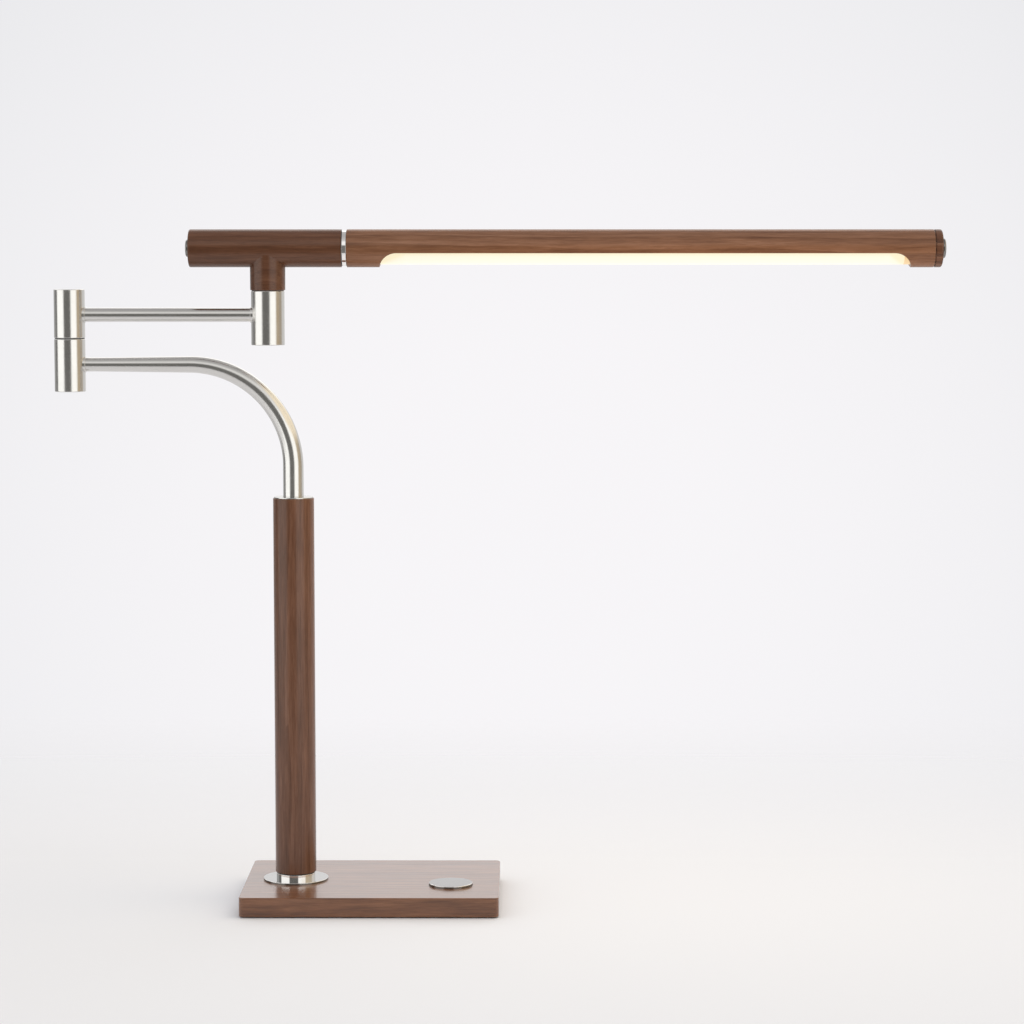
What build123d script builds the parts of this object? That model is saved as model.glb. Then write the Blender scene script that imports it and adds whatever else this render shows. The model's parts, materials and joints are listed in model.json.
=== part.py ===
"""Swing-arm table lamp: a round wooden light bar on a folding steel arm, a wooden post and a weighted base.

The frame has its origin on the table under the middle of the base, X along the light bar towards its
free end, Y to the back and Z up. All sizes are millimetres.
"""

import os
from math import cos, degrees, pi, radians, sin, tan

from build123d import *

# Clearances
fit_gap = 0.05  # all round a pressed or screwed piece
running_gap = 0.05  # all round a turning shaft
pocket_gap = 0.3  # round what drops into a pocket
button_gap = 0.3  # round the push button
contact_gap = 0.1  # between pieces that only just meet, such as a lead and its board

# Base
base_length = 200.0
base_depth = 140.0
base_thickness = 15.0
base_corner_radius = 4.0
base_edge_radius = 1.0
base_rim = 6.0  # wood left round the cover plate
ledge_width = 8.0  # wood that the cover is screwed to
top_skin = 4.5  # wood left over the pocket
pocket_corner_radius = 4.0
cover_thickness = 1.5
pad_thickness = 0.8
pad_margin = 3.0
cover_screw_columns = 3
cover_screw_rows = 2
cover_screw_radius = 1.5
cover_screw_head_radius = 2.7
cover_screw_length = 8.0
countersink_angle = 90.0
bay_length = 57.7  # pocket left beside the weight for the driver board
weight_hole_radius = 18.0
lead_slot_width = 10.0

# Driver board, push button and cord gland
board_side_gap = 6.85  # between the board and the bay's sides
board_end_gap = 16.0  # between the board and the pocket's front and back
board_thickness = 1.6
board_margin = 1.0  # insulating sheet past the board
sheet_thickness = 0.5
button_inset = 38.0  # axis of the button from the right end of the base
button_setback = 48.0  # and from its front
button_radius = 17.0
button_thickness = 2.2
button_proud = 2.0
button_edge_radius = 0.4
button_travel = 0.7
button_recess = 1.2
stem_radius = 4.0
stem_tail = 0.8  # stem past its clip
guide_radius = 6.0
clip_radius = 6.0
clip_groove_radius = 3.0
clip_thickness = 0.8
switch_width = 12.0
switch_height = 3.4
plunger_radius = 1.75
gland_drop = 8.8  # axis of the gland below the top of the base
gland_radius = 4.0
gland_bore_radius = 2.75
gland_flange_radius = 5.2
gland_flange_thickness = 1.0
gland_tail = 3.0  # length past the wood into the pocket

# Post
post_inset = 39.0  # axis of the post from the left end of the base
post_radius = 16.0
post_wall = 5.0
post_length = 296.0
post_edge = 0.4
flange_radius = 25.5
flange_thickness = 1.5
flange_edge_radius = 0.4
collar_radius = 15.25
collar_height = 4.0
spigot_height = 8.0
gasket_thickness = 0.8
gasket_radius = 15.0
pipe_radius = 5.0
pipe_wall = 1.5
flange_screw_count = 3
flange_screw_circle = 10.2
flange_screw_radius = 2.0
flange_screw_depth = 4.0
flange_screw_head_radius = 3.5
flange_screw_head_height = 2.4
cap_radius = 15.2
cap_thickness = 1.0
socket_length = 40.0
arm_seat = 30.0  # length of the arm's root inside the socket
pipe_seat = 8.0  # length of the pipe's top inside the socket

# Arms and their barrels
arm_straight = 23.2  # from the cap to the bend
arm_reach = 173.5  # from the post's axis to the elbow's
arm_root_radius = 8.0
arm_tip_radius = 5.5
arm_wall = 1.0
bend_radius = 80.0
bend_sections = 7
tip_straight = 14.0  # length of even radius at the tip
weld_width = 0.8  # bead all round an arm where it meets a barrel
weld_height = 0.5
elbow_radius = 12.0
barrel_wall = 2.2
barrel_edge = 0.4
web_thickness = 6.0
lower_barrel_drop = 21.1  # below the axis of the curved arm
lower_barrel_rise = 19.9
elbow_washer_thickness = 0.8
upper_arm_rise = 18.0  # axis of the upper arm above the upper barrel's lower end
upper_barrel_height = 37.7
upper_arm_reach = 154.5
head_barrel_radius = 13.0
head_barrel_drop = 23.6
head_barrel_rise = 18.5
barrel_cap_thickness = 3.0

# Pivots
pivot_radius = 4.0
pivot_bore_radius = 2.1
pivot_head_radius = 7.0
pivot_head_height = 4.0
pivot_end = 0.8  # thread past the nut
nut_height = 5.0
nut_across_flats = 13.0
nut_sides = 6
spring_radius = 6.5
spring_thickness = 1.2
washer_inset = 0.5  # friction washer inside the barrel's edge
pin_radius = 1.25
pin_gap = 0.25
pin_seat = 4.0
pin_reach = 2.2
groove_depth = 2.6
elbow_pin_circle = 7.5
head_pin_circle = 9.5
roll_pin_circle = 7.5
swing_limit = 155.0
roll_limit = 90.0

# Tee
neck_height = 32.5  # from the neck's lower end to the axis of the light bar
neck_radius = 13.6
neck_root_radius = 14.3  # at the light bar's axis
neck_edge_radius = 0.6
neck_blend_radius = 1.0
head_washer_thickness = 0.5
bar_radius = 14.7
tee_back = 60.8  # from the head's pivot to the closed end
tee_front = 57.6
tee_edge_radius = 2.0
insert_radius = 7.0
insert_length = 14.0
tee_bore_depth = 40.0
bush_radius = 10.0
bush_length = 14.0
lead_hole_radius = 3.5
tee_button_radius = 6.7
tee_button_height = 2.6
end_spigot_radius = 3.0
end_spigot_length = 9.0
end_button_edge = 1.2

# Light bar
roll_washer_thickness = 0.5
ring_radius = 14.0
ring_thickness = 3.6
ring_edge_radius = 0.5
bar_length = 455.0
bar_wall = 2.0
bar_edge = 0.3
plug_length = 18.0
window_start = 24.8  # from the bar's left end
window_length = 413.0
window_drop = 3.9  # below the axis
window_radius = 14.0
light_gap = 0.2  # round the carrier and the diffuser
lead_bay = 8.0  # between the diffuser's end and the carrier's
carrier_wall = 1.5
carrier_floor = 2.2
strip_width = 14.0
strip_thickness = 1.2
strip_lead_in = 6.0  # strip past the carrier towards the lead
chip_length = 3.5
chip_width = 2.8
chip_height = 0.7
chip_count = 40
diffuser_wall = 1.4
stop_show = 6.2  # length of the diffuser's end stop that shows in the window
cap_spigot_length = 10.0
end_cap_thickness = 6.3
end_cap_edge_radius = 1.6
end_button_radius = 7.75
end_button_height = 2.8

# Leads
lead_radius = 1.3
lead_turn = 4.5
lead_head_turn = 8.0
lead_on_board = 8.0

# Levels and places in the base
base_bottom = pad_thickness
base_top = base_bottom + base_thickness
cover_top = base_bottom + cover_thickness
pocket_roof = base_top - top_skin
cover_length = base_length - 2 * base_rim
cover_depth = base_depth - 2 * base_rim
pocket_length = cover_length - 2 * ledge_width
pocket_depth = cover_depth - 2 * ledge_width
screw_pitch_x = (cover_length - ledge_width) / (cover_screw_columns - 1)
screw_pitch_y = (cover_depth - ledge_width) / (cover_screw_rows - 1)
post_x = post_inset - base_length / 2
button_x = base_length / 2 - button_inset
button_y = button_setback - base_depth / 2
weight_length = pocket_length - pocket_gap - bay_length
weight_x = pocket_gap + (weight_length - pocket_length) / 2
weight_right = weight_x + weight_length / 2
bay_x = (pocket_length - bay_length) / 2
board_length = bay_length - 2 * board_side_gap
board_depth = pocket_depth - 2 * board_end_gap
board_bottom = cover_top + sheet_thickness
board_top = board_bottom + board_thickness
board_left = bay_x - board_length / 2
recess_floor = base_top - button_recess
button_bottom = base_top + button_proud - button_thickness
clip_top = pocket_roof - contact_gap
clip_bottom = clip_top - clip_thickness
stem_bottom = clip_bottom - stem_tail
plunger_top = stem_bottom - button_travel - contact_gap
gland_z = base_top - gland_drop
gland_wall = (base_depth - pocket_depth) / 2

# Levels in the post
flange_top = base_top + flange_thickness
collar_top = flange_top + collar_height
post_bottom = collar_top + gasket_thickness
post_top = post_bottom + post_length
post_bore = post_radius - post_wall
cap_top = post_top + cap_thickness
arm_bottom = cap_top - arm_seat
socket_bottom = post_top - socket_length
pipe_top = socket_bottom + pipe_seat

# Places along the curved arm
bend_start = cap_top + arm_straight
bend_end_x = post_x - bend_radius
arm_height = bend_start + bend_radius
elbow_x = post_x - arm_reach
elbow_bore = elbow_radius - barrel_wall
tip_end_x = elbow_x + elbow_bore
taper_end_x = tip_end_x + tip_straight
bend_arc = bend_radius * pi / 2
taper_length = bend_arc + bend_end_x - taper_end_x

# Levels of the elbow, the upper arm and the head
lower_barrel_low = arm_height - lower_barrel_drop
lower_barrel_high = arm_height + lower_barrel_rise
upper_barrel_low = lower_barrel_high + elbow_washer_thickness
upper_barrel_high = upper_barrel_low + upper_barrel_height
upper_arm_height = upper_barrel_low + upper_arm_rise
elbow_bolt_seat = lower_barrel_high - web_thickness
elbow_spring_seat = upper_barrel_low + web_thickness
elbow_nut_seat = elbow_spring_seat + spring_thickness
elbow_bolt_top = elbow_nut_seat + nut_height + pivot_end
head_x = elbow_x + upper_arm_reach
head_bore = head_barrel_radius - barrel_wall
head_barrel_low = upper_arm_height - head_barrel_drop
head_barrel_high = upper_arm_height + head_barrel_rise
head_spring_seat = head_barrel_high - web_thickness
head_nut_seat = head_spring_seat - spring_thickness
head_stem_bottom = head_nut_seat - nut_height - pivot_end
neck_bottom = head_barrel_high + head_washer_thickness
insert_top = neck_bottom + insert_length
bar_axis = neck_bottom + neck_height

# Places along the tee and the light bar
tee_left = head_x - tee_back
tee_right = head_x + tee_front
bush_left = tee_right - bush_length
roll_nut_seat = bush_left - spring_thickness
axle_left = roll_nut_seat - nut_height - pivot_end
ring_left = tee_right + roll_washer_thickness
bar_left = ring_left + ring_thickness
bar_right = bar_left + bar_length
cap_right = bar_right + end_cap_thickness
plug_right = bar_left + plug_length
axle_right = plug_right - pivot_end
bar_bore = bar_radius - bar_wall
window_level = bar_axis - window_drop
window_x = bar_left + window_start + window_length / 2
light_radius = bar_bore - light_gap
light_left = plug_right + pocket_gap
light_right = bar_right - cap_spigot_length - pocket_gap
stop_left = bar_left + window_start + window_length - stop_show
carrier_left = light_left + lead_bay
carrier_drop = lead_radius + contact_gap
carrier_level = bar_axis - carrier_drop
strip_left = carrier_left - strip_lead_in
strip_x = (strip_left + light_right) / 2
strip_length = light_right - strip_left
strip_level = carrier_level - strip_thickness
chip_pitch = strip_length / chip_count


def upward(x: float, z: float, y: float = 0.0) -> Plane:
    """Plane at a point, facing up."""
    return Plane(origin=(x, y, z), x_dir=(1, 0, 0), z_dir=(0, 0, 1))


def downward(x: float, z: float) -> Plane:
    """Plane at a point, facing down."""
    return Plane(origin=(x, 0, z), x_dir=(1, 0, 0), z_dir=(0, 0, -1))


def rightward(x: float, z: float = bar_axis) -> Plane:
    """Plane at a point, facing along X."""
    return Plane(origin=(x, 0, z), x_dir=(0, 1, 0), z_dir=(1, 0, 0))


def leftward(x: float, z: float = bar_axis) -> Plane:
    """Plane at a point, facing against X."""
    return Plane(origin=(x, 0, z), x_dir=(0, 1, 0), z_dir=(-1, 0, 0))


def disc(seat: Plane, radius: float, height: float) -> BuildPart:
    """Round plug or pin standing on a plane."""
    with BuildPart() as piece:
        with BuildSketch(seat):
            Circle(radius)
        extrude(amount=height)
    return piece


def ring(seat: Plane, radius: float, bore: float, height: float) -> BuildPart:
    """Washer or plain tube standing on a plane."""
    with BuildPart() as piece:
        with BuildSketch(seat):
            Circle(radius)
            Circle(bore, mode=Mode.SUBTRACT)
        extrude(amount=height)
    return piece


def friction_washer(seat: Plane, radius: float, height: float, pin_circle: float) -> BuildPart:
    """Washer between two turning faces, with the hole that the stop pin passes through."""
    with BuildPart() as piece:
        with BuildSketch(seat):
            Circle(radius)
            Circle(pivot_radius + running_gap, mode=Mode.SUBTRACT)
            with Locations((pin_circle, 0)):
                Circle(pin_radius + fit_gap, mode=Mode.SUBTRACT)
        extrude(amount=height)
    return piece


def spring_washer(seat: Plane) -> BuildPart:
    """Washer that keeps a pivot under load."""
    return ring(seat, spring_radius, pivot_radius + running_gap, spring_thickness)


def nut(seat: Plane) -> BuildPart:
    """Hexagon nut on a pivot's thread."""
    with BuildPart() as piece:
        with BuildSketch(seat):
            RegularPolygon(nut_across_flats / 2, nut_sides, major_radius=False)
            Circle(pivot_radius + fit_gap, mode=Mode.SUBTRACT)
        extrude(amount=nut_height)
    return piece


def stop_pin(face: Plane, circle: float, reach: float) -> BuildPart:
    """Pin seated behind a pivot's face that reaches past it into the groove on the other side."""
    with BuildPart() as piece:
        with BuildSketch(face.offset(-pin_seat)):
            with Locations((circle, 0)):
                Circle(pin_radius)
        extrude(amount=pin_seat + reach)
    return piece


def stop_groove(face: Plane, circle: float, limit: float) -> Sketch:
    """Outline of the groove that lets a stop pin turn by the limit each way."""
    half = limit + degrees(pin_gap / circle)
    path = CenterArc((0, 0), circle, -half, 2 * half, mode=Mode.PRIVATE)
    with BuildSketch(face) as groove:
        SlotArc(path, 2 * (pin_radius + pin_gap))
    return groove.sketch


def flat_disc(plane: Plane, radius: float, level: float) -> Sketch:
    """Disc that is cut off flat below a level, which is measured up from its middle."""
    with BuildSketch(plane) as outline:
        Circle(radius)
        with Locations((0, level - radius)):
            Rectangle(2 * radius, 2 * radius, mode=Mode.SUBTRACT)
    return outline.sketch


def barrel(radius: float, face: Plane, length: float, arm: Plane) -> BuildPart:
    """Steel barrel of a pivot, closed by a web at its pivot face and open for a cap at the far end.

    The arm plane lies where the arm's axis leaves the pivot's axis, and faces along the arm.
    """
    with BuildPart() as piece:
        with BuildSketch(face):
            Circle(radius)
        extrude(amount=-length)
        chamfer(piece.edges().filter_by(GeomType.CIRCLE), barrel_edge)
        with BuildSketch(face.offset(-web_thickness)):
            Circle(radius - barrel_wall)
        extrude(amount=web_thickness - length, mode=Mode.SUBTRACT)
        with BuildSketch(face):
            Circle(pivot_radius + running_gap)
        extrude(amount=-web_thickness, mode=Mode.SUBTRACT)
        with BuildSketch(arm):
            Circle(arm_tip_radius + fit_gap)
        extrude(amount=radius, mode=Mode.SUBTRACT)
    return piece


def weld_bead(arm: Plane, radius: float) -> BuildPart:
    """Bead round an arm, saddled on the barrel whose axis the arm plane lies on."""
    with BuildPart() as piece:
        with BuildSketch(arm):
            Circle(arm_tip_radius + weld_width)
            Circle(arm_tip_radius - arm_wall, mode=Mode.SUBTRACT)
        extrude(amount=radius + weld_height)
        with Locations(Plane(origin=arm.origin)):
            Cylinder(radius + fit_gap, 2 * radius, mode=Mode.SUBTRACT)
    return piece


def end_button(face: Plane, radius: float, height: float) -> BuildPart:
    """Steel button on the end of the light bar or the tee, with its spigot in the wood."""
    with BuildPart() as piece:
        with BuildSketch(face):
            Circle(radius)
        extrude(amount=height)
        fillet(piece.faces().sort_by(Axis(face.origin, face.z_dir))[-1].edges(), end_button_edge)
        with BuildSketch(face):
            Circle(end_spigot_radius)
        extrude(amount=-end_spigot_length)
    return piece


def lead(points: list[tuple[float, float]], turns: list[float]) -> BuildPart:
    """Inner lead along straight runs and tangent arcs in the lamp's middle plane."""
    with BuildPart() as piece:
        with BuildLine(Plane.XZ) as route:
            FilletPolyline(*points, radius=turns)
        with BuildSketch(Plane(origin=route.line @ 0, z_dir=route.line % 0)):
            Circle(lead_radius)
        sweep(path=route.line)
    return piece


# Base block, hollow from below, with the holes for the post, the button and the cord gland
gland_face = Plane(origin=(button_x, base_depth / 2, gland_z), x_dir=(1, 0, 0), z_dir=(0, 1, 0))
with BuildPart() as base_block:
    with BuildSketch(Plane.XY.offset(base_bottom)):
        RectangleRounded(base_length, base_depth, base_corner_radius)
    extrude(amount=base_thickness)
    fillet(base_block.faces().filter_by(Axis.Z).edges(), base_edge_radius)
    with BuildSketch(Plane.XY.offset(base_bottom)):
        RectangleRounded(cover_length, cover_depth, base_corner_radius)
    extrude(amount=cover_thickness, mode=Mode.SUBTRACT)
    with BuildSketch(Plane.XY.offset(cover_top)):
        RectangleRounded(pocket_length, pocket_depth, pocket_corner_radius)
    extrude(amount=pocket_roof - cover_top, mode=Mode.SUBTRACT)
    with BuildSketch(Plane.XY.offset(cover_top)):
        with GridLocations(screw_pitch_x, screw_pitch_y, cover_screw_columns, cover_screw_rows):
            Circle(cover_screw_radius + fit_gap)
    extrude(amount=cover_screw_length - cover_thickness, mode=Mode.SUBTRACT)
    with BuildSketch(upward(post_x, pocket_roof)):
        Circle(lead_hole_radius)
        with PolarLocations(flange_screw_circle, flange_screw_count):
            Circle(flange_screw_radius + fit_gap)
    extrude(amount=top_skin, mode=Mode.SUBTRACT)
    with BuildSketch(upward(button_x, recess_floor, button_y)):
        Circle(button_radius + button_gap)
    extrude(amount=button_recess, mode=Mode.SUBTRACT)
    with BuildSketch(upward(button_x, pocket_roof, button_y)):
        Circle(guide_radius + fit_gap)
    extrude(amount=recess_floor - pocket_roof, mode=Mode.SUBTRACT)
    with BuildSketch(gland_face):
        Circle(gland_radius + fit_gap)
    extrude(amount=-gland_wall, mode=Mode.SUBTRACT)
    with BuildSketch(gland_face):
        Circle(gland_flange_radius + fit_gap)
    extrude(amount=-gland_flange_thickness, mode=Mode.SUBTRACT)

# Steel weight in the pocket, cut out round the flange's screws and for the lead
with BuildPart() as base_weight:
    with BuildSketch(Plane.XY.offset(cover_top)):
        with Locations((weight_x, 0)):
            RectangleRounded(weight_length, pocket_depth - 2 * pocket_gap, pocket_corner_radius)
        with Locations((post_x, 0)):
            Circle(weight_hole_radius, mode=Mode.SUBTRACT)
        with Locations(((post_x + weight_right) / 2, 0)):
            Rectangle(weight_right - post_x, lead_slot_width, mode=Mode.SUBTRACT)
    extrude(amount=pocket_roof - cover_top - pocket_gap)

# Cover plate with countersunk holes
with BuildPart() as base_cover:
    with BuildSketch(Plane.XY.offset(base_bottom)):
        RectangleRounded(cover_length - 2 * pocket_gap, cover_depth - 2 * pocket_gap, base_corner_radius)
    extrude(amount=cover_thickness)
    with Locations(downward(0, base_bottom)):
        with GridLocations(screw_pitch_x, screw_pitch_y, cover_screw_columns, cover_screw_rows):
            CounterSinkHole(
                cover_screw_radius + fit_gap,
                cover_screw_head_radius + fit_gap,
                counter_sink_angle=countersink_angle,
            )

# Countersunk screws, one for each hole in the cover
screw_cone = (cover_screw_head_radius - cover_screw_radius) / tan(radians(countersink_angle / 2))
with BuildPart() as cover_screws:
    with BuildSketch(Plane.XY.offset(base_bottom)):
        with GridLocations(screw_pitch_x, screw_pitch_y, cover_screw_columns, cover_screw_rows):
            Circle(cover_screw_radius)
    extrude(amount=cover_screw_length)
    with Locations(Plane.XY.offset(base_bottom + screw_cone / 2)):
        with GridLocations(screw_pitch_x, screw_pitch_y, cover_screw_columns, cover_screw_rows):
            Cone(cover_screw_head_radius, cover_screw_radius, screw_cone)

# Anti-slip pad that the lamp stands on
with BuildPart() as base_pad:
    with BuildSketch(Plane.XY):
        RectangleRounded(pocket_length - 2 * pad_margin, pocket_depth - 2 * pad_margin, pocket_corner_radius)
    extrude(amount=pad_thickness)

# Insulating sheet and driver board in the bay beside the weight
with BuildPart() as board_sheet:
    with BuildSketch(upward(bay_x, cover_top)):
        Rectangle(board_length + 2 * board_margin, board_depth + 2 * board_margin)
    extrude(amount=sheet_thickness)
with BuildPart() as driver_board:
    with BuildSketch(upward(bay_x, board_bottom)):
        Rectangle(board_length, board_depth)
    extrude(amount=board_thickness)

# Switch under the button
with BuildPart() as push_switch:
    with BuildSketch(upward(button_x, board_top, button_y)):
        Rectangle(switch_width, switch_width)
    extrude(amount=switch_height)
    with BuildSketch(upward(button_x, board_top, button_y)):
        Circle(plunger_radius)
    extrude(amount=plunger_top - board_top)

# Push button: polished disc with a guided stem, held down by a clip in the stem's groove
with BuildPart() as push_button:
    with BuildSketch(upward(button_x, button_bottom, button_y)):
        Circle(button_radius)
    extrude(amount=button_thickness)
    fillet(push_button.faces().sort_by(Axis.Z)[-1].edges(), button_edge_radius)
    with BuildSketch(upward(button_x, stem_bottom, button_y)):
        Circle(stem_radius)
    extrude(amount=button_bottom - stem_bottom)
    with BuildSketch(upward(button_x, clip_bottom, button_y)):
        Circle(stem_radius)
        Circle(clip_groove_radius, mode=Mode.SUBTRACT)
    extrude(amount=clip_thickness, mode=Mode.SUBTRACT)
button_clip = ring(upward(button_x, clip_bottom, button_y), clip_radius, clip_groove_radius, clip_thickness)
guide_seat = upward(button_x, pocket_roof, button_y)
button_guide = ring(guide_seat, guide_radius, stem_radius + running_gap, recess_floor - pocket_roof)

# Cord gland in the rear face
with BuildPart() as cord_gland:
    with BuildSketch(gland_face):
        Circle(gland_flange_radius)
    extrude(amount=-gland_flange_thickness)
    with BuildSketch(gland_face):
        Circle(gland_radius)
    extrude(amount=-gland_wall - gland_tail)
    with BuildSketch(gland_face):
        Circle(gland_bore_radius)
    extrude(amount=-gland_wall - gland_tail, mode=Mode.SUBTRACT)

# Flange, collar and spigot at the foot of the post
with BuildPart() as post_flange:
    with BuildSketch(upward(post_x, base_top)):
        Circle(flange_radius)
    extrude(amount=flange_thickness)
    fillet(post_flange.faces().sort_by(Axis.Z)[-1].edges(), flange_edge_radius)
    with BuildSketch(upward(post_x, flange_top)):
        Circle(collar_radius)
    extrude(amount=collar_height)
    fillet(post_flange.faces().sort_by(Axis.Z)[-1].edges(), flange_edge_radius)
    with BuildSketch(upward(post_x, collar_top)):
        Circle(post_bore - fit_gap)
    extrude(amount=spigot_height)
    with BuildSketch(upward(post_x, base_top)):
        Circle(pipe_radius + fit_gap)
    extrude(amount=collar_top + spigot_height - base_top, mode=Mode.SUBTRACT)
    with BuildSketch(upward(post_x, base_top)):
        with PolarLocations(flange_screw_circle, flange_screw_count):
            Circle(flange_screw_radius + fit_gap)
    extrude(amount=flange_screw_depth, mode=Mode.SUBTRACT)

# Screws that hold the flange from inside the base
with BuildPart() as flange_screws:
    with BuildSketch(upward(post_x, pocket_roof)):
        with PolarLocations(flange_screw_circle, flange_screw_count):
            Circle(flange_screw_radius)
    extrude(amount=top_skin + flange_screw_depth)
    with BuildSketch(upward(post_x, pocket_roof)):
        with PolarLocations(flange_screw_circle, flange_screw_count):
            Circle(flange_screw_head_radius)
    extrude(amount=-flange_screw_head_height)

# Gasket, wooden post, threaded pipe and arm socket
post_gasket = ring(upward(post_x, collar_top), gasket_radius, post_bore, gasket_thickness)
with BuildPart() as post_sleeve:
    with BuildSketch(upward(post_x, post_bottom)):
        Circle(post_radius)
    extrude(amount=post_length)
    chamfer(post_sleeve.edges().filter_by(GeomType.CIRCLE), post_edge)
    with BuildSketch(upward(post_x, post_bottom)):
        Circle(post_bore)
    extrude(amount=post_length, mode=Mode.SUBTRACT)
post_pipe = ring(upward(post_x, base_top), pipe_radius, pipe_radius - pipe_wall, pipe_top - base_top)
with BuildPart() as arm_socket:
    with BuildSketch(upward(post_x, post_top)):
        Circle(cap_radius)
    extrude(amount=cap_thickness)
    with BuildSketch(upward(post_x, socket_bottom)):
        Circle(post_bore - fit_gap)
    extrude(amount=socket_length)
    with BuildSketch(upward(post_x, arm_bottom)):
        Circle(arm_root_radius + fit_gap)
    extrude(amount=arm_seat, mode=Mode.SUBTRACT)
    with BuildSketch(upward(post_x, socket_bottom)):
        Circle(pipe_radius + fit_gap)
    extrude(amount=arm_bottom - socket_bottom, mode=Mode.SUBTRACT)


def arm_radius(run: float) -> float:
    """Radius of the curved arm at a length along its axis from the start of the bend."""
    return arm_root_radius + (arm_tip_radius - arm_root_radius) * run / taper_length


def bend_plane(share: float) -> Plane:
    """Plane across the curved arm's axis at a share of the quarter turn."""
    turn = share * pi / 2
    middle = (bend_end_x + bend_radius * cos(turn), 0, bend_start + bend_radius * sin(turn))
    return Plane(origin=middle, x_dir=(0, 1, 0), z_dir=(-sin(turn), 0, cos(turn)))


# Curved arm: a straight root, a bend that tapers along its arc, a tapered run and an even tip, all hollow
lower_weld = weld_bead(rightward(elbow_x, arm_height), elbow_radius)
with BuildPart() as curved_arm:
    for wall, mode in ((0.0, Mode.ADD), (arm_wall, Mode.SUBTRACT)):
        with BuildSketch(upward(post_x, arm_bottom)):
            Circle(arm_root_radius - wall)
        extrude(amount=bend_start - arm_bottom, mode=mode)
        for section in range(bend_sections):
            share = section / (bend_sections - 1)
            with BuildSketch(bend_plane(share)):
                Circle(arm_radius(bend_arc * share) - wall)
        loft(mode=mode)
        with BuildSketch(leftward(bend_end_x, arm_height)):
            Circle(arm_radius(bend_arc) - wall)
        with BuildSketch(leftward(taper_end_x, arm_height)):
            Circle(arm_tip_radius - wall)
        loft(mode=mode)
        with BuildSketch(leftward(taper_end_x, arm_height)):
            Circle(arm_tip_radius - wall)
        extrude(amount=tip_straight, mode=mode)
    add(lower_weld.part)

# Elbow: lower barrel with the stop pin's hole, upper barrel with its groove
lower_face = upward(elbow_x, lower_barrel_high)
lower_shell = barrel(
    elbow_radius, lower_face, lower_barrel_high - lower_barrel_low, rightward(elbow_x, arm_height)
)
with BuildPart() as lower_barrel:
    add(lower_shell.part)
    with BuildSketch(lower_face):
        with Locations((elbow_pin_circle, 0)):
            Circle(pin_radius + fit_gap)
    extrude(amount=-pin_seat, mode=Mode.SUBTRACT)
upper_face = downward(elbow_x, upper_barrel_low)
upper_shell = barrel(elbow_radius, upper_face, upper_barrel_height, rightward(elbow_x, upper_arm_height))
elbow_groove = stop_groove(upper_face, elbow_pin_circle, swing_limit)
with BuildPart() as upper_barrel:
    add(upper_shell.part)
    extrude(elbow_groove, amount=-groove_depth, mode=Mode.SUBTRACT)
lower_barrel_cap = disc(upward(elbow_x, lower_barrel_low), elbow_bore - fit_gap, barrel_cap_thickness)
upper_barrel_cap = disc(downward(elbow_x, upper_barrel_high), elbow_bore - fit_gap, barrel_cap_thickness)

# Elbow pivot: hollow bolt, washers, nut and stop pin
with BuildPart() as elbow_bolt:
    with BuildSketch(downward(elbow_x, elbow_bolt_seat)):
        Circle(pivot_head_radius)
    extrude(amount=pivot_head_height)
    with BuildSketch(upward(elbow_x, elbow_bolt_seat)):
        Circle(pivot_radius)
    extrude(amount=elbow_bolt_top - elbow_bolt_seat)
    with BuildSketch(upward(elbow_x, elbow_bolt_seat - pivot_head_height)):
        Circle(pivot_bore_radius)
    extrude(amount=elbow_bolt_top - elbow_bolt_seat + pivot_head_height, mode=Mode.SUBTRACT)
elbow_washer = friction_washer(
    lower_face, elbow_radius - washer_inset, elbow_washer_thickness, elbow_pin_circle
)
elbow_spring = spring_washer(upward(elbow_x, elbow_spring_seat))
elbow_nut = nut(upward(elbow_x, elbow_nut_seat))
elbow_stop_pin = stop_pin(lower_face, elbow_pin_circle, elbow_washer_thickness + pin_reach)

# Upper arm and head barrel with the groove of the head's stop pin
upper_arm_left = elbow_x + elbow_bore
upper_arm_right = head_x - head_bore
upper_weld = weld_bead(rightward(elbow_x, upper_arm_height), elbow_radius)
head_weld = weld_bead(leftward(head_x, upper_arm_height), head_barrel_radius)
with BuildPart() as upper_arm:
    with BuildSketch(rightward(upper_arm_left, upper_arm_height)):
        Circle(arm_tip_radius)
        Circle(arm_tip_radius - arm_wall, mode=Mode.SUBTRACT)
    extrude(amount=upper_arm_right - upper_arm_left)
    add(upper_weld.part)
    add(head_weld.part)
head_face = upward(head_x, head_barrel_high)
head_shell = barrel(
    head_barrel_radius, head_face, head_barrel_high - head_barrel_low, leftward(head_x, upper_arm_height)
)
head_groove = stop_groove(head_face, head_pin_circle, swing_limit)
with BuildPart() as head_barrel:
    add(head_shell.part)
    extrude(head_groove, amount=-groove_depth, mode=Mode.SUBTRACT)
head_barrel_cap = disc(upward(head_x, head_barrel_low), head_bore - fit_gap, barrel_cap_thickness)

# Head pivot: hollow stem in the neck's insert, washers, nut and stop pin
neck_face = downward(head_x, neck_bottom)
head_stem = ring(
    upward(head_x, head_stem_bottom), pivot_radius, pivot_bore_radius, insert_top - head_stem_bottom
)
neck_insert = ring(upward(head_x, neck_bottom), insert_radius, pivot_radius + fit_gap, insert_length)
head_washer = friction_washer(
    head_face, head_barrel_radius - washer_inset, head_washer_thickness, head_pin_circle
)
head_spring = spring_washer(downward(head_x, head_spring_seat))
head_nut = nut(downward(head_x, head_nut_seat))
head_stop_pin = stop_pin(neck_face, head_pin_circle, head_washer_thickness + pin_reach)

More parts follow.
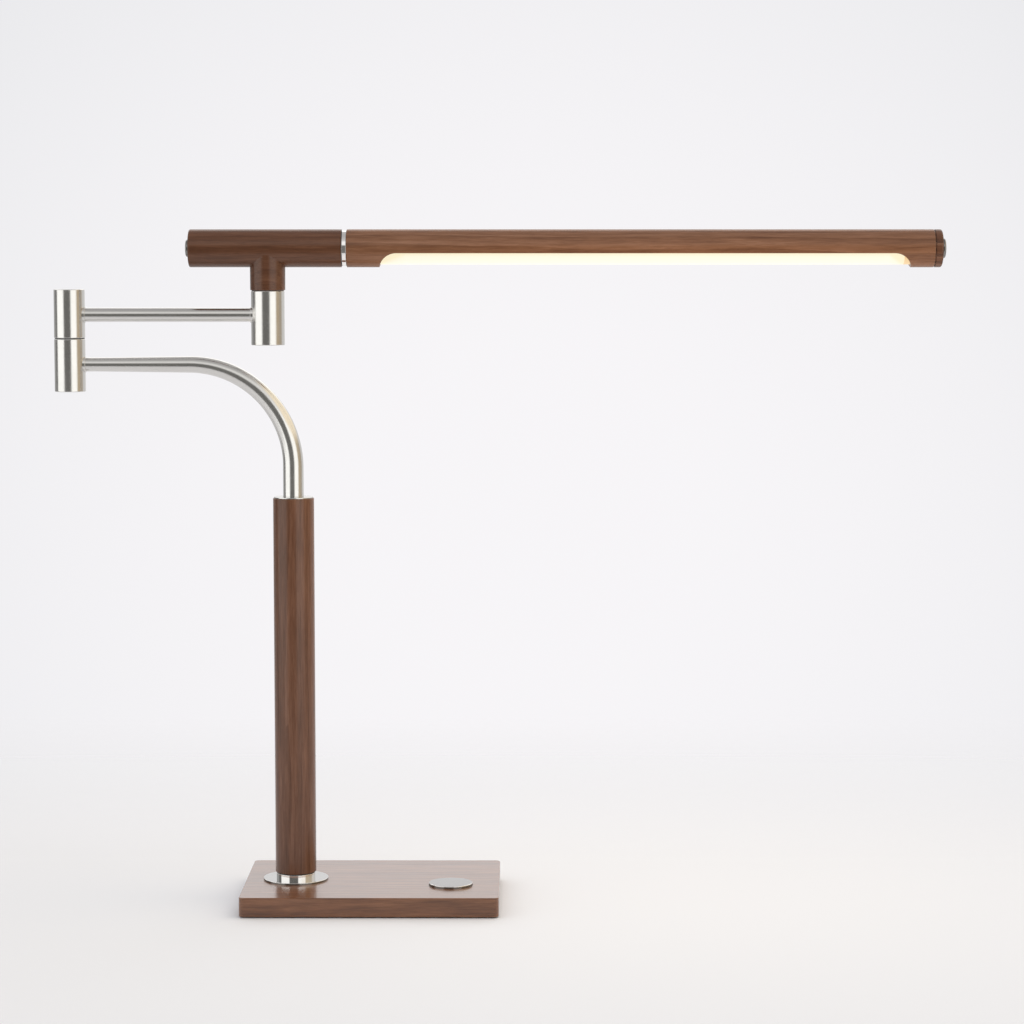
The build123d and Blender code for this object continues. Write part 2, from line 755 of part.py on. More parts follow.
# Wooden tee: cross piece and neck in one, bored for the insert, the bush and the leads
with BuildPart() as tee_body:
    with BuildSketch(rightward(tee_left)):
        Circle(bar_radius)
    extrude(amount=tee_right - tee_left)
    fillet(tee_body.edges().filter_by(GeomType.CIRCLE).sort_by(Axis.X)[0], tee_edge_radius)
    with BuildSketch(upward(head_x, neck_bottom)):
        Circle(neck_radius)
    with BuildSketch(upward(head_x, bar_axis)):
        Circle(neck_root_radius)
    loft()
    fillet(tee_body.edges().filter_by(GeomType.BSPLINE), neck_blend_radius)
    fillet(tee_body.faces().sort_by(Axis.Z)[0].edges(), neck_edge_radius)
    with BuildSketch(upward(head_x, neck_bottom)):
        Circle(insert_radius + fit_gap)
    extrude(amount=insert_length, mode=Mode.SUBTRACT)
    with BuildSketch(upward(head_x, insert_top)):
        Circle(lead_hole_radius)
    extrude(amount=bar_axis - insert_top, mode=Mode.SUBTRACT)
    with BuildSketch(neck_face):
        with Locations((head_pin_circle, 0)):
            Circle(pin_radius + fit_gap)
    extrude(amount=-pin_seat, mode=Mode.SUBTRACT)
    with BuildSketch(leftward(tee_right)):
        Circle(bush_radius + fit_gap)
    extrude(amount=tee_bore_depth, mode=Mode.SUBTRACT)
    with BuildSketch(leftward(tee_right)):
        Circle(lead_hole_radius)
    extrude(amount=tee_front + lead_hole_radius, mode=Mode.SUBTRACT)
    with BuildSketch(rightward(tee_left)):
        Circle(end_spigot_radius + fit_gap)
    extrude(amount=end_spigot_length, mode=Mode.SUBTRACT)
tee_button = end_button(leftward(tee_left), tee_button_radius, tee_button_height)

# Light bar's pivot: bush in the tee, washers, nut, stop pin, hollow axle and plug in the bar
bush_face = rightward(tee_right)
with BuildPart() as tee_bush:
    with BuildSketch(bush_face):
        Circle(bush_radius)
        Circle(pivot_radius + running_gap, mode=Mode.SUBTRACT)
    extrude(amount=-bush_length)
    with BuildSketch(bush_face):
        with Locations((roll_pin_circle, 0)):
            Circle(pin_radius + fit_gap)
    extrude(amount=-pin_seat, mode=Mode.SUBTRACT)
roll_washer = friction_washer(bush_face, ring_radius - washer_inset, roll_washer_thickness, roll_pin_circle)
roll_stop_pin = stop_pin(bush_face, roll_pin_circle, roll_washer_thickness + pin_reach)
roll_spring = spring_washer(leftward(bush_left))
roll_nut = nut(leftward(roll_nut_seat))
roll_axle = ring(rightward(axle_left), pivot_radius, pivot_bore_radius, axle_right - axle_left)
bar_plug = ring(rightward(bar_left), bar_bore - fit_gap, pivot_radius + fit_gap, plug_length)

# Bright ring between tee and bar, with the stop pin's groove in its back
ring_groove = stop_groove(leftward(ring_left), roll_pin_circle, roll_limit)
with BuildPart() as swivel_ring:
    with BuildSketch(rightward(ring_left)):
        Circle(ring_radius)
    extrude(amount=ring_thickness)
    fillet(swivel_ring.edges().filter_by(GeomType.CIRCLE), ring_edge_radius)
    with BuildSketch(rightward(ring_left)):
        Circle(pivot_radius + fit_gap)
    extrude(amount=ring_thickness, mode=Mode.SUBTRACT)
    extrude(ring_groove, amount=-groove_depth, mode=Mode.SUBTRACT)

# Wooden light bar with the round-ended window on its underside
with BuildPart() as light_bar:
    with BuildSketch(rightward(bar_left)):
        Circle(bar_radius)
    extrude(amount=bar_length)
    chamfer(light_bar.edges().filter_by(GeomType.CIRCLE), bar_edge)
    with BuildSketch(rightward(bar_left)):
        Circle(bar_bore)
    extrude(amount=bar_length, mode=Mode.SUBTRACT)
    with BuildSketch(Plane.XZ) as window:
        with Locations((window_x, window_level - bar_radius)):
            Rectangle(window_length, 2 * bar_radius)
        fillet(window.vertices().group_by(Axis.Y)[-1], window_radius)
    extrude(amount=bar_radius, both=True, mode=Mode.SUBTRACT)

# Carrier with a flat underside, strip, chips and the round diffuser below them
carrier_outline = flat_disc(rightward(carrier_left), light_radius, -carrier_drop)
carrier_hollow = flat_disc(
    rightward(carrier_left), light_radius - carrier_wall, carrier_floor - carrier_drop
)
with BuildPart() as led_carrier:
    extrude(carrier_outline, amount=light_right - carrier_left)
    extrude(carrier_hollow, amount=light_right - carrier_left, mode=Mode.SUBTRACT)
with BuildPart() as led_strip:
    with BuildSketch(downward(strip_x, carrier_level)):
        Rectangle(strip_length, strip_width)
    extrude(amount=strip_thickness)
with BuildPart() as led_chips:
    with BuildSketch(downward(strip_x, strip_level)):
        with GridLocations(chip_pitch, 0, chip_count, 1):
            Rectangle(chip_length, chip_width)
    extrude(amount=chip_height)
with BuildPart() as diffuser:
    with BuildSketch(rightward(light_left)):
        Circle(light_radius)
        Circle(light_radius - diffuser_wall, mode=Mode.SUBTRACT)
        with Locations((0, light_radius - carrier_drop - light_gap)):
            Rectangle(2 * light_radius, 2 * light_radius, mode=Mode.SUBTRACT)
    extrude(amount=stop_left - contact_gap - light_left)

# End stop of the diffuser, below the strip
stop_drop = carrier_drop + strip_thickness + chip_height + light_gap
with BuildPart() as diffuser_stop:
    with BuildSketch(rightward(stop_left)):
        Circle(light_radius)
        with Locations((0, light_radius - stop_drop)):
            Rectangle(2 * light_radius, 2 * light_radius, mode=Mode.SUBTRACT)
    extrude(amount=light_right - stop_left)

# End cap of the light bar and its button
with BuildPart() as bar_end_cap:
    with BuildSketch(rightward(bar_right)):
        Circle(bar_radius)
    extrude(amount=end_cap_thickness)
    cap_edges = bar_end_cap.edges().filter_by(GeomType.CIRCLE).sort_by(Axis.X)
    fillet(cap_edges[-1], end_cap_edge_radius)
    chamfer(bar_end_cap.edges().filter_by(GeomType.CIRCLE).sort_by(Axis.X)[0], bar_edge)
    with BuildSketch(leftward(bar_right)):
        Circle(bar_bore - fit_gap)
    extrude(amount=cap_spigot_length)
    with BuildSketch(leftward(cap_right)):
        Circle(end_spigot_radius + fit_gap)
    extrude(amount=end_spigot_length, mode=Mode.SUBTRACT)
bar_button = end_button(rightward(cap_right), end_button_radius, end_button_height)

# Leads, which meet face to face on the pivots' axes
lead_level = board_top + lead_radius + contact_gap
arm_lead = lead(
    [
        (board_left + lead_on_board, lead_level),
        (post_x, lead_level),
        (post_x, arm_height),
        (elbow_x, arm_height),
        (elbow_x, lower_barrel_high),
    ],
    [lead_turn, bend_radius, lead_turn],
)
upper_lead = lead(
    [
        (elbow_x, lower_barrel_high),
        (elbow_x, upper_arm_height),
        (head_x, upper_arm_height),
        (head_x, head_barrel_high),
    ],
    [lead_turn, lead_turn],
)
head_lead = lead(
    [(head_x, head_barrel_high), (head_x, bar_axis), (ring_left, bar_axis)], [lead_head_turn]
)
bar_lead = disc(rightward(ring_left), lead_radius, carrier_left - pocket_gap - ring_left)

pieces = {
    "base_block": base_block,
    "base_weight": base_weight,
    "base_cover": base_cover,
    "cover_screws": cover_screws,
    "base_pad": base_pad,
    "board_sheet": board_sheet,
    "driver_board": driver_board,
    "push_switch": push_switch,
    "push_button": push_button,
    "button_clip": button_clip,
    "button_guide": button_guide,
    "cord_gland": cord_gland,
    "post_flange": post_flange,
    "flange_screws": flange_screws,
    "post_gasket": post_gasket,
    "post_sleeve": post_sleeve,
    "post_pipe": post_pipe,
    "arm_socket": arm_socket,
    "curved_arm": curved_arm,
    "lower_barrel": lower_barrel,
    "lower_barrel_cap": lower_barrel_cap,
    "elbow_bolt": elbow_bolt,
    "elbow_washer": elbow_washer,
    "elbow_spring": elbow_spring,
    "elbow_nut": elbow_nut,
    "elbow_stop_pin": elbow_stop_pin,
    "upper_barrel": upper_barrel,
    "upper_barrel_cap": upper_barrel_cap,
    "upper_arm": upper_arm,
    "head_barrel": head_barrel,
    "head_barrel_cap": head_barrel_cap,
    "head_stem": head_stem,
    "neck_insert": neck_insert,
    "head_washer": head_washer,
    "head_spring": head_spring,
    "head_nut": head_nut,
    "head_stop_pin": head_stop_pin,
    "tee_body": tee_body,
    "tee_button": tee_button,
    "tee_bush": tee_bush,
    "roll_washer": roll_washer,
    "roll_stop_pin": roll_stop_pin,
    "roll_spring": roll_spring,
    "roll_nut": roll_nut,
    "roll_axle": roll_axle,
    "bar_plug": bar_plug,
    "swivel_ring": swivel_ring,
    "light_bar": light_bar,
    "led_carrier": led_carrier,
    "led_strip": led_strip,
    "led_chips": led_chips,
    "diffuser": diffuser,
    "diffuser_stop": diffuser_stop,
    "bar_end_cap": bar_end_cap,
    "bar_button": bar_button,
    "arm_lead": arm_lead,
    "upper_lead": upper_lead,
    "head_lead": head_lead,
    "bar_lead": bar_lead,
}

os.makedirs("parts", exist_ok=True)
for name, piece in pieces.items():
    piece.part.label = name
    export_step(piece.part, f"parts/{name}.step")
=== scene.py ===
"""Swing-arm table lamp: walnut, polished steel and a lit diffuser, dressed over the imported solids.

Sizes in the finishes, shapes and sub-assemblies are millimetres, and those of the studio and its paper are
metres. Finished meshes are in metres, in the frame of the solids.
"""

import json
import logging
import math
from collections.abc import Callable, Sequence
from dataclasses import dataclass
from enum import Enum, IntEnum
from functools import cache, reduce

import bmesh
import bpy
from mathutils import Matrix, Vector

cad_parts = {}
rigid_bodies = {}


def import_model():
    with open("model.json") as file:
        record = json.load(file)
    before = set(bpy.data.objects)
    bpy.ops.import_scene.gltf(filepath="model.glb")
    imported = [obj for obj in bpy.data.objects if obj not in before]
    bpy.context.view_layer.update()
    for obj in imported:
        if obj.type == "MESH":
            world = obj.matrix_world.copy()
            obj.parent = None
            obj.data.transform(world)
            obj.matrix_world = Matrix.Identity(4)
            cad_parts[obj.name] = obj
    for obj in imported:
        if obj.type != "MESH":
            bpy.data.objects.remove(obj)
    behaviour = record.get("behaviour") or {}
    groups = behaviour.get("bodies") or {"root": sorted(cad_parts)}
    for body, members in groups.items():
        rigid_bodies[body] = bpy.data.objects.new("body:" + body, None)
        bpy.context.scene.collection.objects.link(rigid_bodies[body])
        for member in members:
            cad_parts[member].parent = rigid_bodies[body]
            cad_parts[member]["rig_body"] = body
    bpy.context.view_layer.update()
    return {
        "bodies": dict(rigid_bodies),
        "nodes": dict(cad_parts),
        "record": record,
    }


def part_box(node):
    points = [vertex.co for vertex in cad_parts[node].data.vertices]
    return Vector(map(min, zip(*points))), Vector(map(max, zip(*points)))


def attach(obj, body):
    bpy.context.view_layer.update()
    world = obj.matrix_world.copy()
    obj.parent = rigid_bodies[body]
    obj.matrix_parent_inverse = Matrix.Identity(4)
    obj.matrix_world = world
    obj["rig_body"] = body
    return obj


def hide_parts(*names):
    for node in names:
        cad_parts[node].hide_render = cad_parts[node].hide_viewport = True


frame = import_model()

MM = 0.001  # one millimetre in metres
MERGE = 0.001  # corners closer than this become one
NEAR = 0.1  # slack when corners are looked for at a known place
PAST = 1.0  # how far a cutter stands out of what it cuts
SIDES = 96  # of a round piece
FINE_SIDES = 128  # of a round piece that shows large
BAR_SIDES = 160  # of the light bar
SMOOTH_ANGLE = math.radians(35)  # faces that meet at less look like one surface
SHARP_ANGLE = math.radians(40)  # edges whose faces meet at more can be rounded
NOISE_RANGE = (0.3, 0.7)  # stretch in which most of a cloudy pattern lies
WAVE_RATE = 20  # radians of a wave pattern for each unit of its scale
MIX_COLOURS = (6, 7)  # inputs of a mix node that take its two colours
MIX_RESULT = 2  # and its output for colours
log = logging.getLogger("table_lamp")

Colour = tuple[float, float, float]
Point = tuple[float, float, float]
Stretch = tuple[float, float]
Outline = list[tuple[float, float]]
Scene = bpy.types.Scene
Piece = bpy.types.Object
Node = bpy.types.Node
Socket = bpy.types.NodeSocket
Edge = bmesh.types.BMEdge
EdgeTest = Callable[[Edge], bool]
Feeds = dict[str | int, object]


class Axis(IntEnum):
    """Place of a direction in a vector."""

    X = 0
    Y = 1
    Z = 2


class Grain(Enum):
    """Direction in which a wooden piece's grain runs."""

    ALONG_BAR = "X"
    UPRIGHT = "Z"

    def along(self, share: float) -> Point:
        """Scale of a pattern that is drawn out along the grain."""
        return (share, 1.0, 1.0) if self is Grain.ALONG_BAR else (1.0, 1.0, share)

    def across(self, size: float) -> Point:
        """Step of a size in both directions across the grain."""
        return (0.0, size, size) if self is Grain.ALONG_BAR else (size, size, 0.0)


class Lying(Enum):
    """Way that a turned shape's axis points."""

    UP = Matrix.Identity(3).freeze()
    DOWN = Matrix.Rotation(math.radians(180), 3, "X").freeze()
    RIGHT = Matrix.Rotation(math.radians(90), 3, "Y").freeze()
    LEFT = Matrix.Rotation(math.radians(-90), 3, "Y").freeze()
    BACK = Matrix.Rotation(math.radians(-90), 3, "X").freeze()
    LEFT_FROM_BACK = (BACK @ LEFT).freeze()


@dataclass(frozen=True)
class Cloud:
    """Cloudy pattern: how fine and detailed it is, and how far the grain draws it out."""

    scale: float
    detail: float
    roughness: float = 0.5
    draw: float = 1.0


class Wiring:
    """Adds nodes to an emptied shader tree and links them."""

    def __init__(self, tree: bpy.types.NodeTree) -> None:
        """Empty the tree."""
        self.tree = tree
        tree.nodes.clear()

    def add(self, kind: str, feeds: Feeds | None = None, **settings: object) -> Node:
        """Add one node.

        Args:
            kind: Blender's name for the type of node.
            feeds: value or output socket for each input, by the input's name or number.
            settings: the node's own attributes.

        Returns:
            The node.
        """
        node = self.tree.nodes.new(kind)
        for name, value in settings.items():
            setattr(node, name, value)
        for name, value in (feeds or {}).items():
            if isinstance(value, Socket):
                self.tree.links.new(value, node.inputs[name])
            else:
                node.inputs[name].default_value = value
        return node

    def place(self) -> Socket:
        """Coordinates in the piece's own frame."""
        return self.add("ShaderNodeTexCoord").outputs["Object"]

    def parts(self, vector: Socket) -> bpy.types.bpy_prop_collection:
        """The X, Y and Z outputs of a vector."""
        return self.add("ShaderNodeSeparateXYZ", {"Vector": vector}).outputs

    def ramp(self, factor: Socket, stops: Sequence[tuple[float, Colour]]) -> Socket:
        """Colour that changes with a factor.

        Args:
            factor: output that drives the ramp.
            stops: place and colour of each stop, in order.

        Returns:
            The colour output.
        """
        node = self.add("ShaderNodeValToRGB", {"Fac": factor})
        elements = node.color_ramp.elements
        while len(elements) < len(stops):
            elements.new(1.0)
        for element, (place, colour) in zip(elements, stops):
            element.position = place
            element.color = (*colour, 1.0)
        return node.outputs["Color"]

    def spread(self, value: Socket, start: float, end: float, low: float = 0.0, high: float = 1.0) -> Socket:
        """Map a value's stretch from start to end onto low to high, held at both ends."""
        feeds = {"Value": value, "From Min": start, "From Max": end, "To Min": low, "To Max": high}
        return self.add("ShaderNodeMapRange", feeds).outputs["Result"]

    def eased(self, value: Socket, start: float, end: float) -> Socket:
        """Share that eases from 0 at the start to 1 at the end."""
        feeds = {"Value": value, "From Min": start, "From Max": end}
        return self.add("ShaderNodeMapRange", feeds, interpolation_type="SMOOTHSTEP").outputs["Result"]

    def maths(self, operation: str, *values: object) -> Socket:
        """Result of one sum on values or outputs."""
        return self.add("ShaderNodeMath", dict(enumerate(values)), operation=operation).outputs["Value"]

    def vector(self, operation: str, *values: object, output: str = "Vector") -> Socket:
        """Result of one sum on vectors, which is a vector or a value."""
        node = self.add("ShaderNodeVectorMath", dict(enumerate(values)), operation=operation)
        return node.outputs[output]

    def noise(self, place: Socket, cloud: Cloud, output: str = "Fac") -> Socket:
        """Cloudy pattern between 0 and 1, or one for each direction as a colour."""
        feeds = {"Vector": place, "Scale": cloud.scale, "Detail": cloud.detail, "Roughness": cloud.roughness}
        return self.add("ShaderNodeTexNoise", feeds).outputs[output]

    def blend(self, share: Socket, first: Socket | Colour, second: Socket | Colour) -> Socket:
        """Colour that blends two others.

        Args:
            share: share of the second colour.
            first: colour at no share.
            second: colour at full share.

        Returns:
            The colour output.
        """
        feeds: Feeds = {0: share}
        for number, colour in zip(MIX_COLOURS, (first, second)):
            feeds[number] = colour if isinstance(colour, Socket) else (*colour, 1.0)
        return self.add("ShaderNodeMix", feeds, data_type="RGBA").outputs[MIX_RESULT]

    def bump(self, height: Socket, strength: float, depth: float) -> Socket:
        """Surface direction that a height pattern tilts."""
        feeds = {"Height": height, "Strength": strength, "Distance": depth * MM}
        return self.add("ShaderNodeBump", feeds).outputs["Normal"]

    def surface(self, feeds: Feeds) -> Socket:
        """Shader output of a surface with the given values and outputs."""
        return self.add("ShaderNodeBsdfPrincipled", feeds).outputs["BSDF"]

    def between(self, share: Socket, first: Node, second: Node) -> Socket:
        """Shader output that turns from one shader into another by a share."""
        feeds = {0: share, 1: first.outputs[0], 2: second.outputs[0]}
        return self.add("ShaderNodeMixShader", feeds).outputs["Shader"]


class Finish:
    """Surface that a piece can be dressed in."""

    label: str

    @property
    def slot(self) -> str:
        """The record's slot that the finish belongs to."""
        return self.label

    def wire(self, wiring: Wiring) -> Socket:
        """Add the finish's nodes and give its shader output."""
        raise NotImplementedError


@cache
def material_of(finish: Finish) -> bpy.types.Material:
    """Material of a finish, made once.

    Args:
        finish: the finish to make.

    Returns:
        The material.
    """
    material = bpy.data.materials.new(finish.label)
    material.use_nodes = True
    wiring = Wiring(material.node_tree)
    wiring.add("ShaderNodeOutputMaterial", {"Surface": finish.wire(wiring)})
    return material


@dataclass(frozen=True)
class Walnut(Finish):
    """Lacquered walnut with growth rings round a pith line, fibres, pores and slow changes of tone."""

    label: str
    grain: Grain
    pith: Point
    dark: Colour
    middle: Colour
    light: Colour
    ring_share: float = 0.22
    streak_share: float = 0.38
    fibre_share: float = 0.22
    tone_share: float = 0.18
    contrast: float = 0.12
    sheen_level: float = 0.0
    coat: float = 0.7
    coat_roughness: float = 0.25
    coat_ior: float = 1.5
    gloss: Stretch = (0.30, 0.42)
    ring_pitch: float = 7.0
    ring_wander: float = 9.0
    ring_detail: Cloud = Cloud(0.35, 3.0, 0.6)
    sway_size: float = 7.0
    sway: Cloud = Cloud(45.0, 2.0, draw=0.12)
    streak: Cloud = Cloud(380.0, 4.0, 0.62, draw=0.06)
    fibre: Cloud = Cloud(1300.0, 3.0, 0.6, draw=0.045)
    pore: Cloud = Cloud(2300.0, 1.0, draw=0.05)
    tone: Cloud = Cloud(26.0, 2.0, draw=0.05)
    pore_range: Stretch = (0.60, 0.74)
    pore_tint: float = 0.4
    pore_depth: float = -0.6
    relief: float = 0.10
    relief_depth: float = 0.3

    @property
    def slot(self) -> str:
        """The record's slot for wood."""
        return "walnut"

    def drawn_out(
        self, wiring: Wiring, place: Socket, cloud: Cloud, origin: Point = (0.0, 0.0, 0.0)
    ) -> Socket:
        """Coordinates in which a pattern is drawn out along the grain.

        Args:
            wiring: tree to add to.
            place: coordinates to start from.
            cloud: the pattern.
            origin: point of the wood, in millimetres, that comes to lie at nought.

        Returns:
            The coordinate output.
        """
        feeds = {"Vector": place, "Location": Vector(origin) * -MM, "Scale": self.grain.along(cloud.draw)}
        return wiring.add("ShaderNodeMapping", feeds).outputs["Vector"]

    def rings(self, wiring: Wiring, board: Socket) -> Socket:
        """Growth rings round the pith.

        Args:
            wiring: tree to add to.
            board: coordinates from the pith.

        Returns:
            The output that rises through each ring.
        """
        feeds = {
            "Vector": board,
            "Scale": math.tau / (WAVE_RATE * self.ring_pitch * MM),
            "Distortion": self.ring_wander,
            "Detail": self.ring_detail.detail,
            "Detail Scale": self.ring_detail.scale,
            "Detail Roughness": self.ring_detail.roughness,
        }
        way = self.grain.value
        return wiring.add(
            "ShaderNodeTexWave", feeds, wave_type="RINGS", rings_direction=way, wave_profile="SAW"
        ).outputs["Fac"]

    def wire(self, wiring: Wiring) -> Socket:
        """Add the wood's nodes.

        Args:
            wiring: tree to add to.

        Returns:
            The shader output.
        """
        place = wiring.place()
        sway = wiring.noise(self.drawn_out(wiring, place, self.sway), self.sway, "Color")
        reach = self.sway_size * MM
        size, start = self.grain.across(reach), self.grain.across(-reach / 2)
        bent = wiring.vector("ADD", place, wiring.vector("MULTIPLY_ADD", sway, size, start))
        board = self.drawn_out(wiring, bent, self.tone, self.pith)
        tone = wiring.noise(board, self.tone)
        streak, fibre, pore = (
            wiring.noise(self.drawn_out(wiring, bent, cloud), cloud)
            for cloud in (self.streak, self.fibre, self.pore)
        )
        pore = wiring.spread(pore, *self.pore_range)
        mixed = wiring.maths("MULTIPLY", self.rings(wiring, board), self.ring_share)
        shares = ((streak, self.streak_share), (fibre, self.fibre_share), (tone, self.tone_share))
        for pattern, share in shares:
            mixed = wiring.maths("MULTIPLY_ADD", pattern, share, mixed)
        tint = wiring.ramp(
            mixed, [(0.5 - self.contrast, self.dark), (0.5, self.middle), (0.5 + self.contrast, self.light)]
        )
        height = wiring.maths("MULTIPLY_ADD", pore, self.pore_depth, fibre)
        return wiring.surface(
            {
                "Base Color": wiring.blend(wiring.maths("MULTIPLY", pore, self.pore_tint), tint, self.dark),
                "Roughness": wiring.spread(fibre, *NOISE_RANGE, *self.gloss),
                "Normal": wiring.bump(height, self.relief, self.relief_depth),
                "Specular IOR Level": self.sheen_level,
                "Coat Weight": self.coat,
                "Coat Roughness": self.coat_roughness,
                "Coat IOR": self.coat_ior,
            }
        )


@dataclass(frozen=True)
class PolishedSteel(Finish):
    """Bright plated steel with the faint cloudiness that polishing leaves."""

    label: str = "polished_steel"
    tint: Colour = (0.71, 0.70, 0.685)
    cloud_tint: Colour = (0.67, 0.66, 0.64)
    smooth: float = 0.17
    dull: float = 0.23
    cloud: Cloud = Cloud(60.0, 3.0, 0.6)

    @property
    def slot(self) -> str:
        """The record's slot for bright steel."""
        return "polished_steel"

    def wire(self, wiring: Wiring) -> Socket:
        """Add the metal's nodes.

        Args:
            wiring: tree to add to.

        Returns:
            The shader output.
        """
        cloud = wiring.noise(wiring.place(), self.cloud)
        return wiring.surface(
            {
                "Base Color": wiring.blend(cloud, self.tint, self.cloud_tint),
                "Metallic": 1.0,
                "Roughness": wiring.spread(cloud, *NOISE_RANGE, self.smooth, self.dull),
            }
        )


@dataclass(frozen=True)
class Plain(Finish):
    """Even material with a fine speckle in its colour, gloss and surface."""

    label: str
    tint: Colour
    speckle: Colour
    roughness: float
    metallic: float = 0.0
    relief: float = 0.08
    relief_depth: float = 0.4
    dulling: float = 0.12
    grit: Cloud = Cloud(400.0, 4.0, 0.6)

    def wire(self, wiring: Wiring) -> Socket:
        """Add the material's nodes.

        Args:
            wiring: tree to add to.

        Returns:
            The shader output.
        """
        grit = wiring.noise(wiring.place(), self.grit)
        dull = self.roughness + self.dulling
        return wiring.surface(
            {
                "Base Color": wiring.blend(grit, self.tint, self.speckle),
                "Metallic": self.metallic,
                "Roughness": wiring.spread(grit, *NOISE_RANGE, self.roughness, dull),
                "Normal": wiring.bump(grit, self.relief, self.relief_depth),
            }
        )


@dataclass(frozen=True)
class OpalLight(Finish):
    """Opal plastic lit from within, deeper in colour at the top and near its ends."""

    label: str
    top: float
    bottom: float
    left: float
    right: float
    glows: tuple[Colour, Colour, Colour] = ((0.94, 0.84, 0.58), (0.96, 0.92, 0.75), (0.99, 0.975, 0.83))
    strength: float = 0.85
    body: Colour = (0.16, 0.15, 0.13)
    left_fade: float = 28.0
    left_depth: float = 1.2
    right_fade: float = 12.0
    cloud_share: float = 0.06
    glow_stops: Point = (0.0, 0.35, 0.95)
    gloss: Stretch = (0.42, 0.52)
    cloud: Cloud = Cloud(140.0, 2.0)

    def wire(self, wiring: Wiring) -> Socket:
        """Add the plastic's nodes.

        Args:
            wiring: tree to add to.

        Returns:
            The shader output.
        """
        place = wiring.place()
        parts = wiring.parts(place)
        drop = wiring.spread(parts["Z"], self.top * MM, self.bottom * MM)
        left_end = (self.left + self.left_fade) * MM
        left = wiring.spread(parts["X"], self.left * MM, left_end, self.left_depth, 0.0)
        right = wiring.spread(parts["X"], (self.right - self.right_fade) * MM, self.right * MM)
        depth = wiring.maths("SUBTRACT", drop, wiring.maths("ADD", left, right))
        cloud = wiring.noise(place, self.cloud)
        depth = wiring.maths("MULTIPLY_ADD", cloud, self.cloud_share, depth)
        stops = list(zip(self.glow_stops, self.glows))
        return wiring.surface(
            {
                "Base Color": (*self.body, 1.0),
                "Roughness": wiring.spread(cloud, *NOISE_RANGE, *self.gloss),
                "Emission Color": wiring.ramp(depth, stops),
                "Emission Strength": self.strength,
            }
        )


@dataclass(frozen=True)
class FadingPaper(Finish):
    """Pale paper that fades out all round, in metres, and for the camera alone also further back."""

    label: str = "floor"
    tint: Colour = (0.768, 0.780, 0.818)
    centre: Point = (0.1, 0.0, 0.0)
    fade: Stretch = (0.5, 2.8)
    front: Stretch = (-0.95, -0.75)
    back: Stretch = (0.15, 0.9)

    def wire(self, wiring: Wiring) -> Socket:
        """Add the paper's nodes.

        Args:
            wiring: tree to add to.

        Returns:
            The shader output.
        """
        place = wiring.place()
        away = wiring.vector("DISTANCE", place, self.centre, output="Value")
        depth = wiring.parts(place)["Y"]
        near = wiring.spread(away, *self.fade, 1.0, 0.0)
        shown = wiring.maths("MULTIPLY", near, wiring.spread(depth, *self.front))
        is_seen = wiring.add("ShaderNodeLightPath").outputs["Is Camera Ray"]
        hidden = wiring.maths("MULTIPLY", is_seen, wiring.spread(depth, *self.back))
        shown = wiring.maths("MULTIPLY", shown, wiring.maths("SUBTRACT", 1.0, hidden))
        clear = wiring.add("ShaderNodeBsdfTransparent")
        paper = wiring.add("ShaderNodeBsdfDiffuse", {"Color": (*self.tint, 1.0)})
        return wiring.between(shown, clear, paper)


class Solid:
    """Box of one solid at rest, in millimetres."""

    def __init__(self, node: str) -> None:
        """Read the box from the frame.

        Args:
            node: name of the solid.
        """
        low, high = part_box(node)
        self.low, self.high = low / MM, high / MM
        self.middle = (self.low + self.high) / 2
        self.radius = (self.high.y - self.low.y) / 2

    @property
    def upright(self) -> Vector:
        """Foot of the solid's upright axis, at height nought."""
        return Vector((self.middle.x, self.middle.y, 0.0))

    def rim(self, axis: Axis) -> EdgeTest:
        """Test for edges on the rim of a solid that is round about an axis."""
        return beyond(self.middle, axis, self.radius - NEAR)


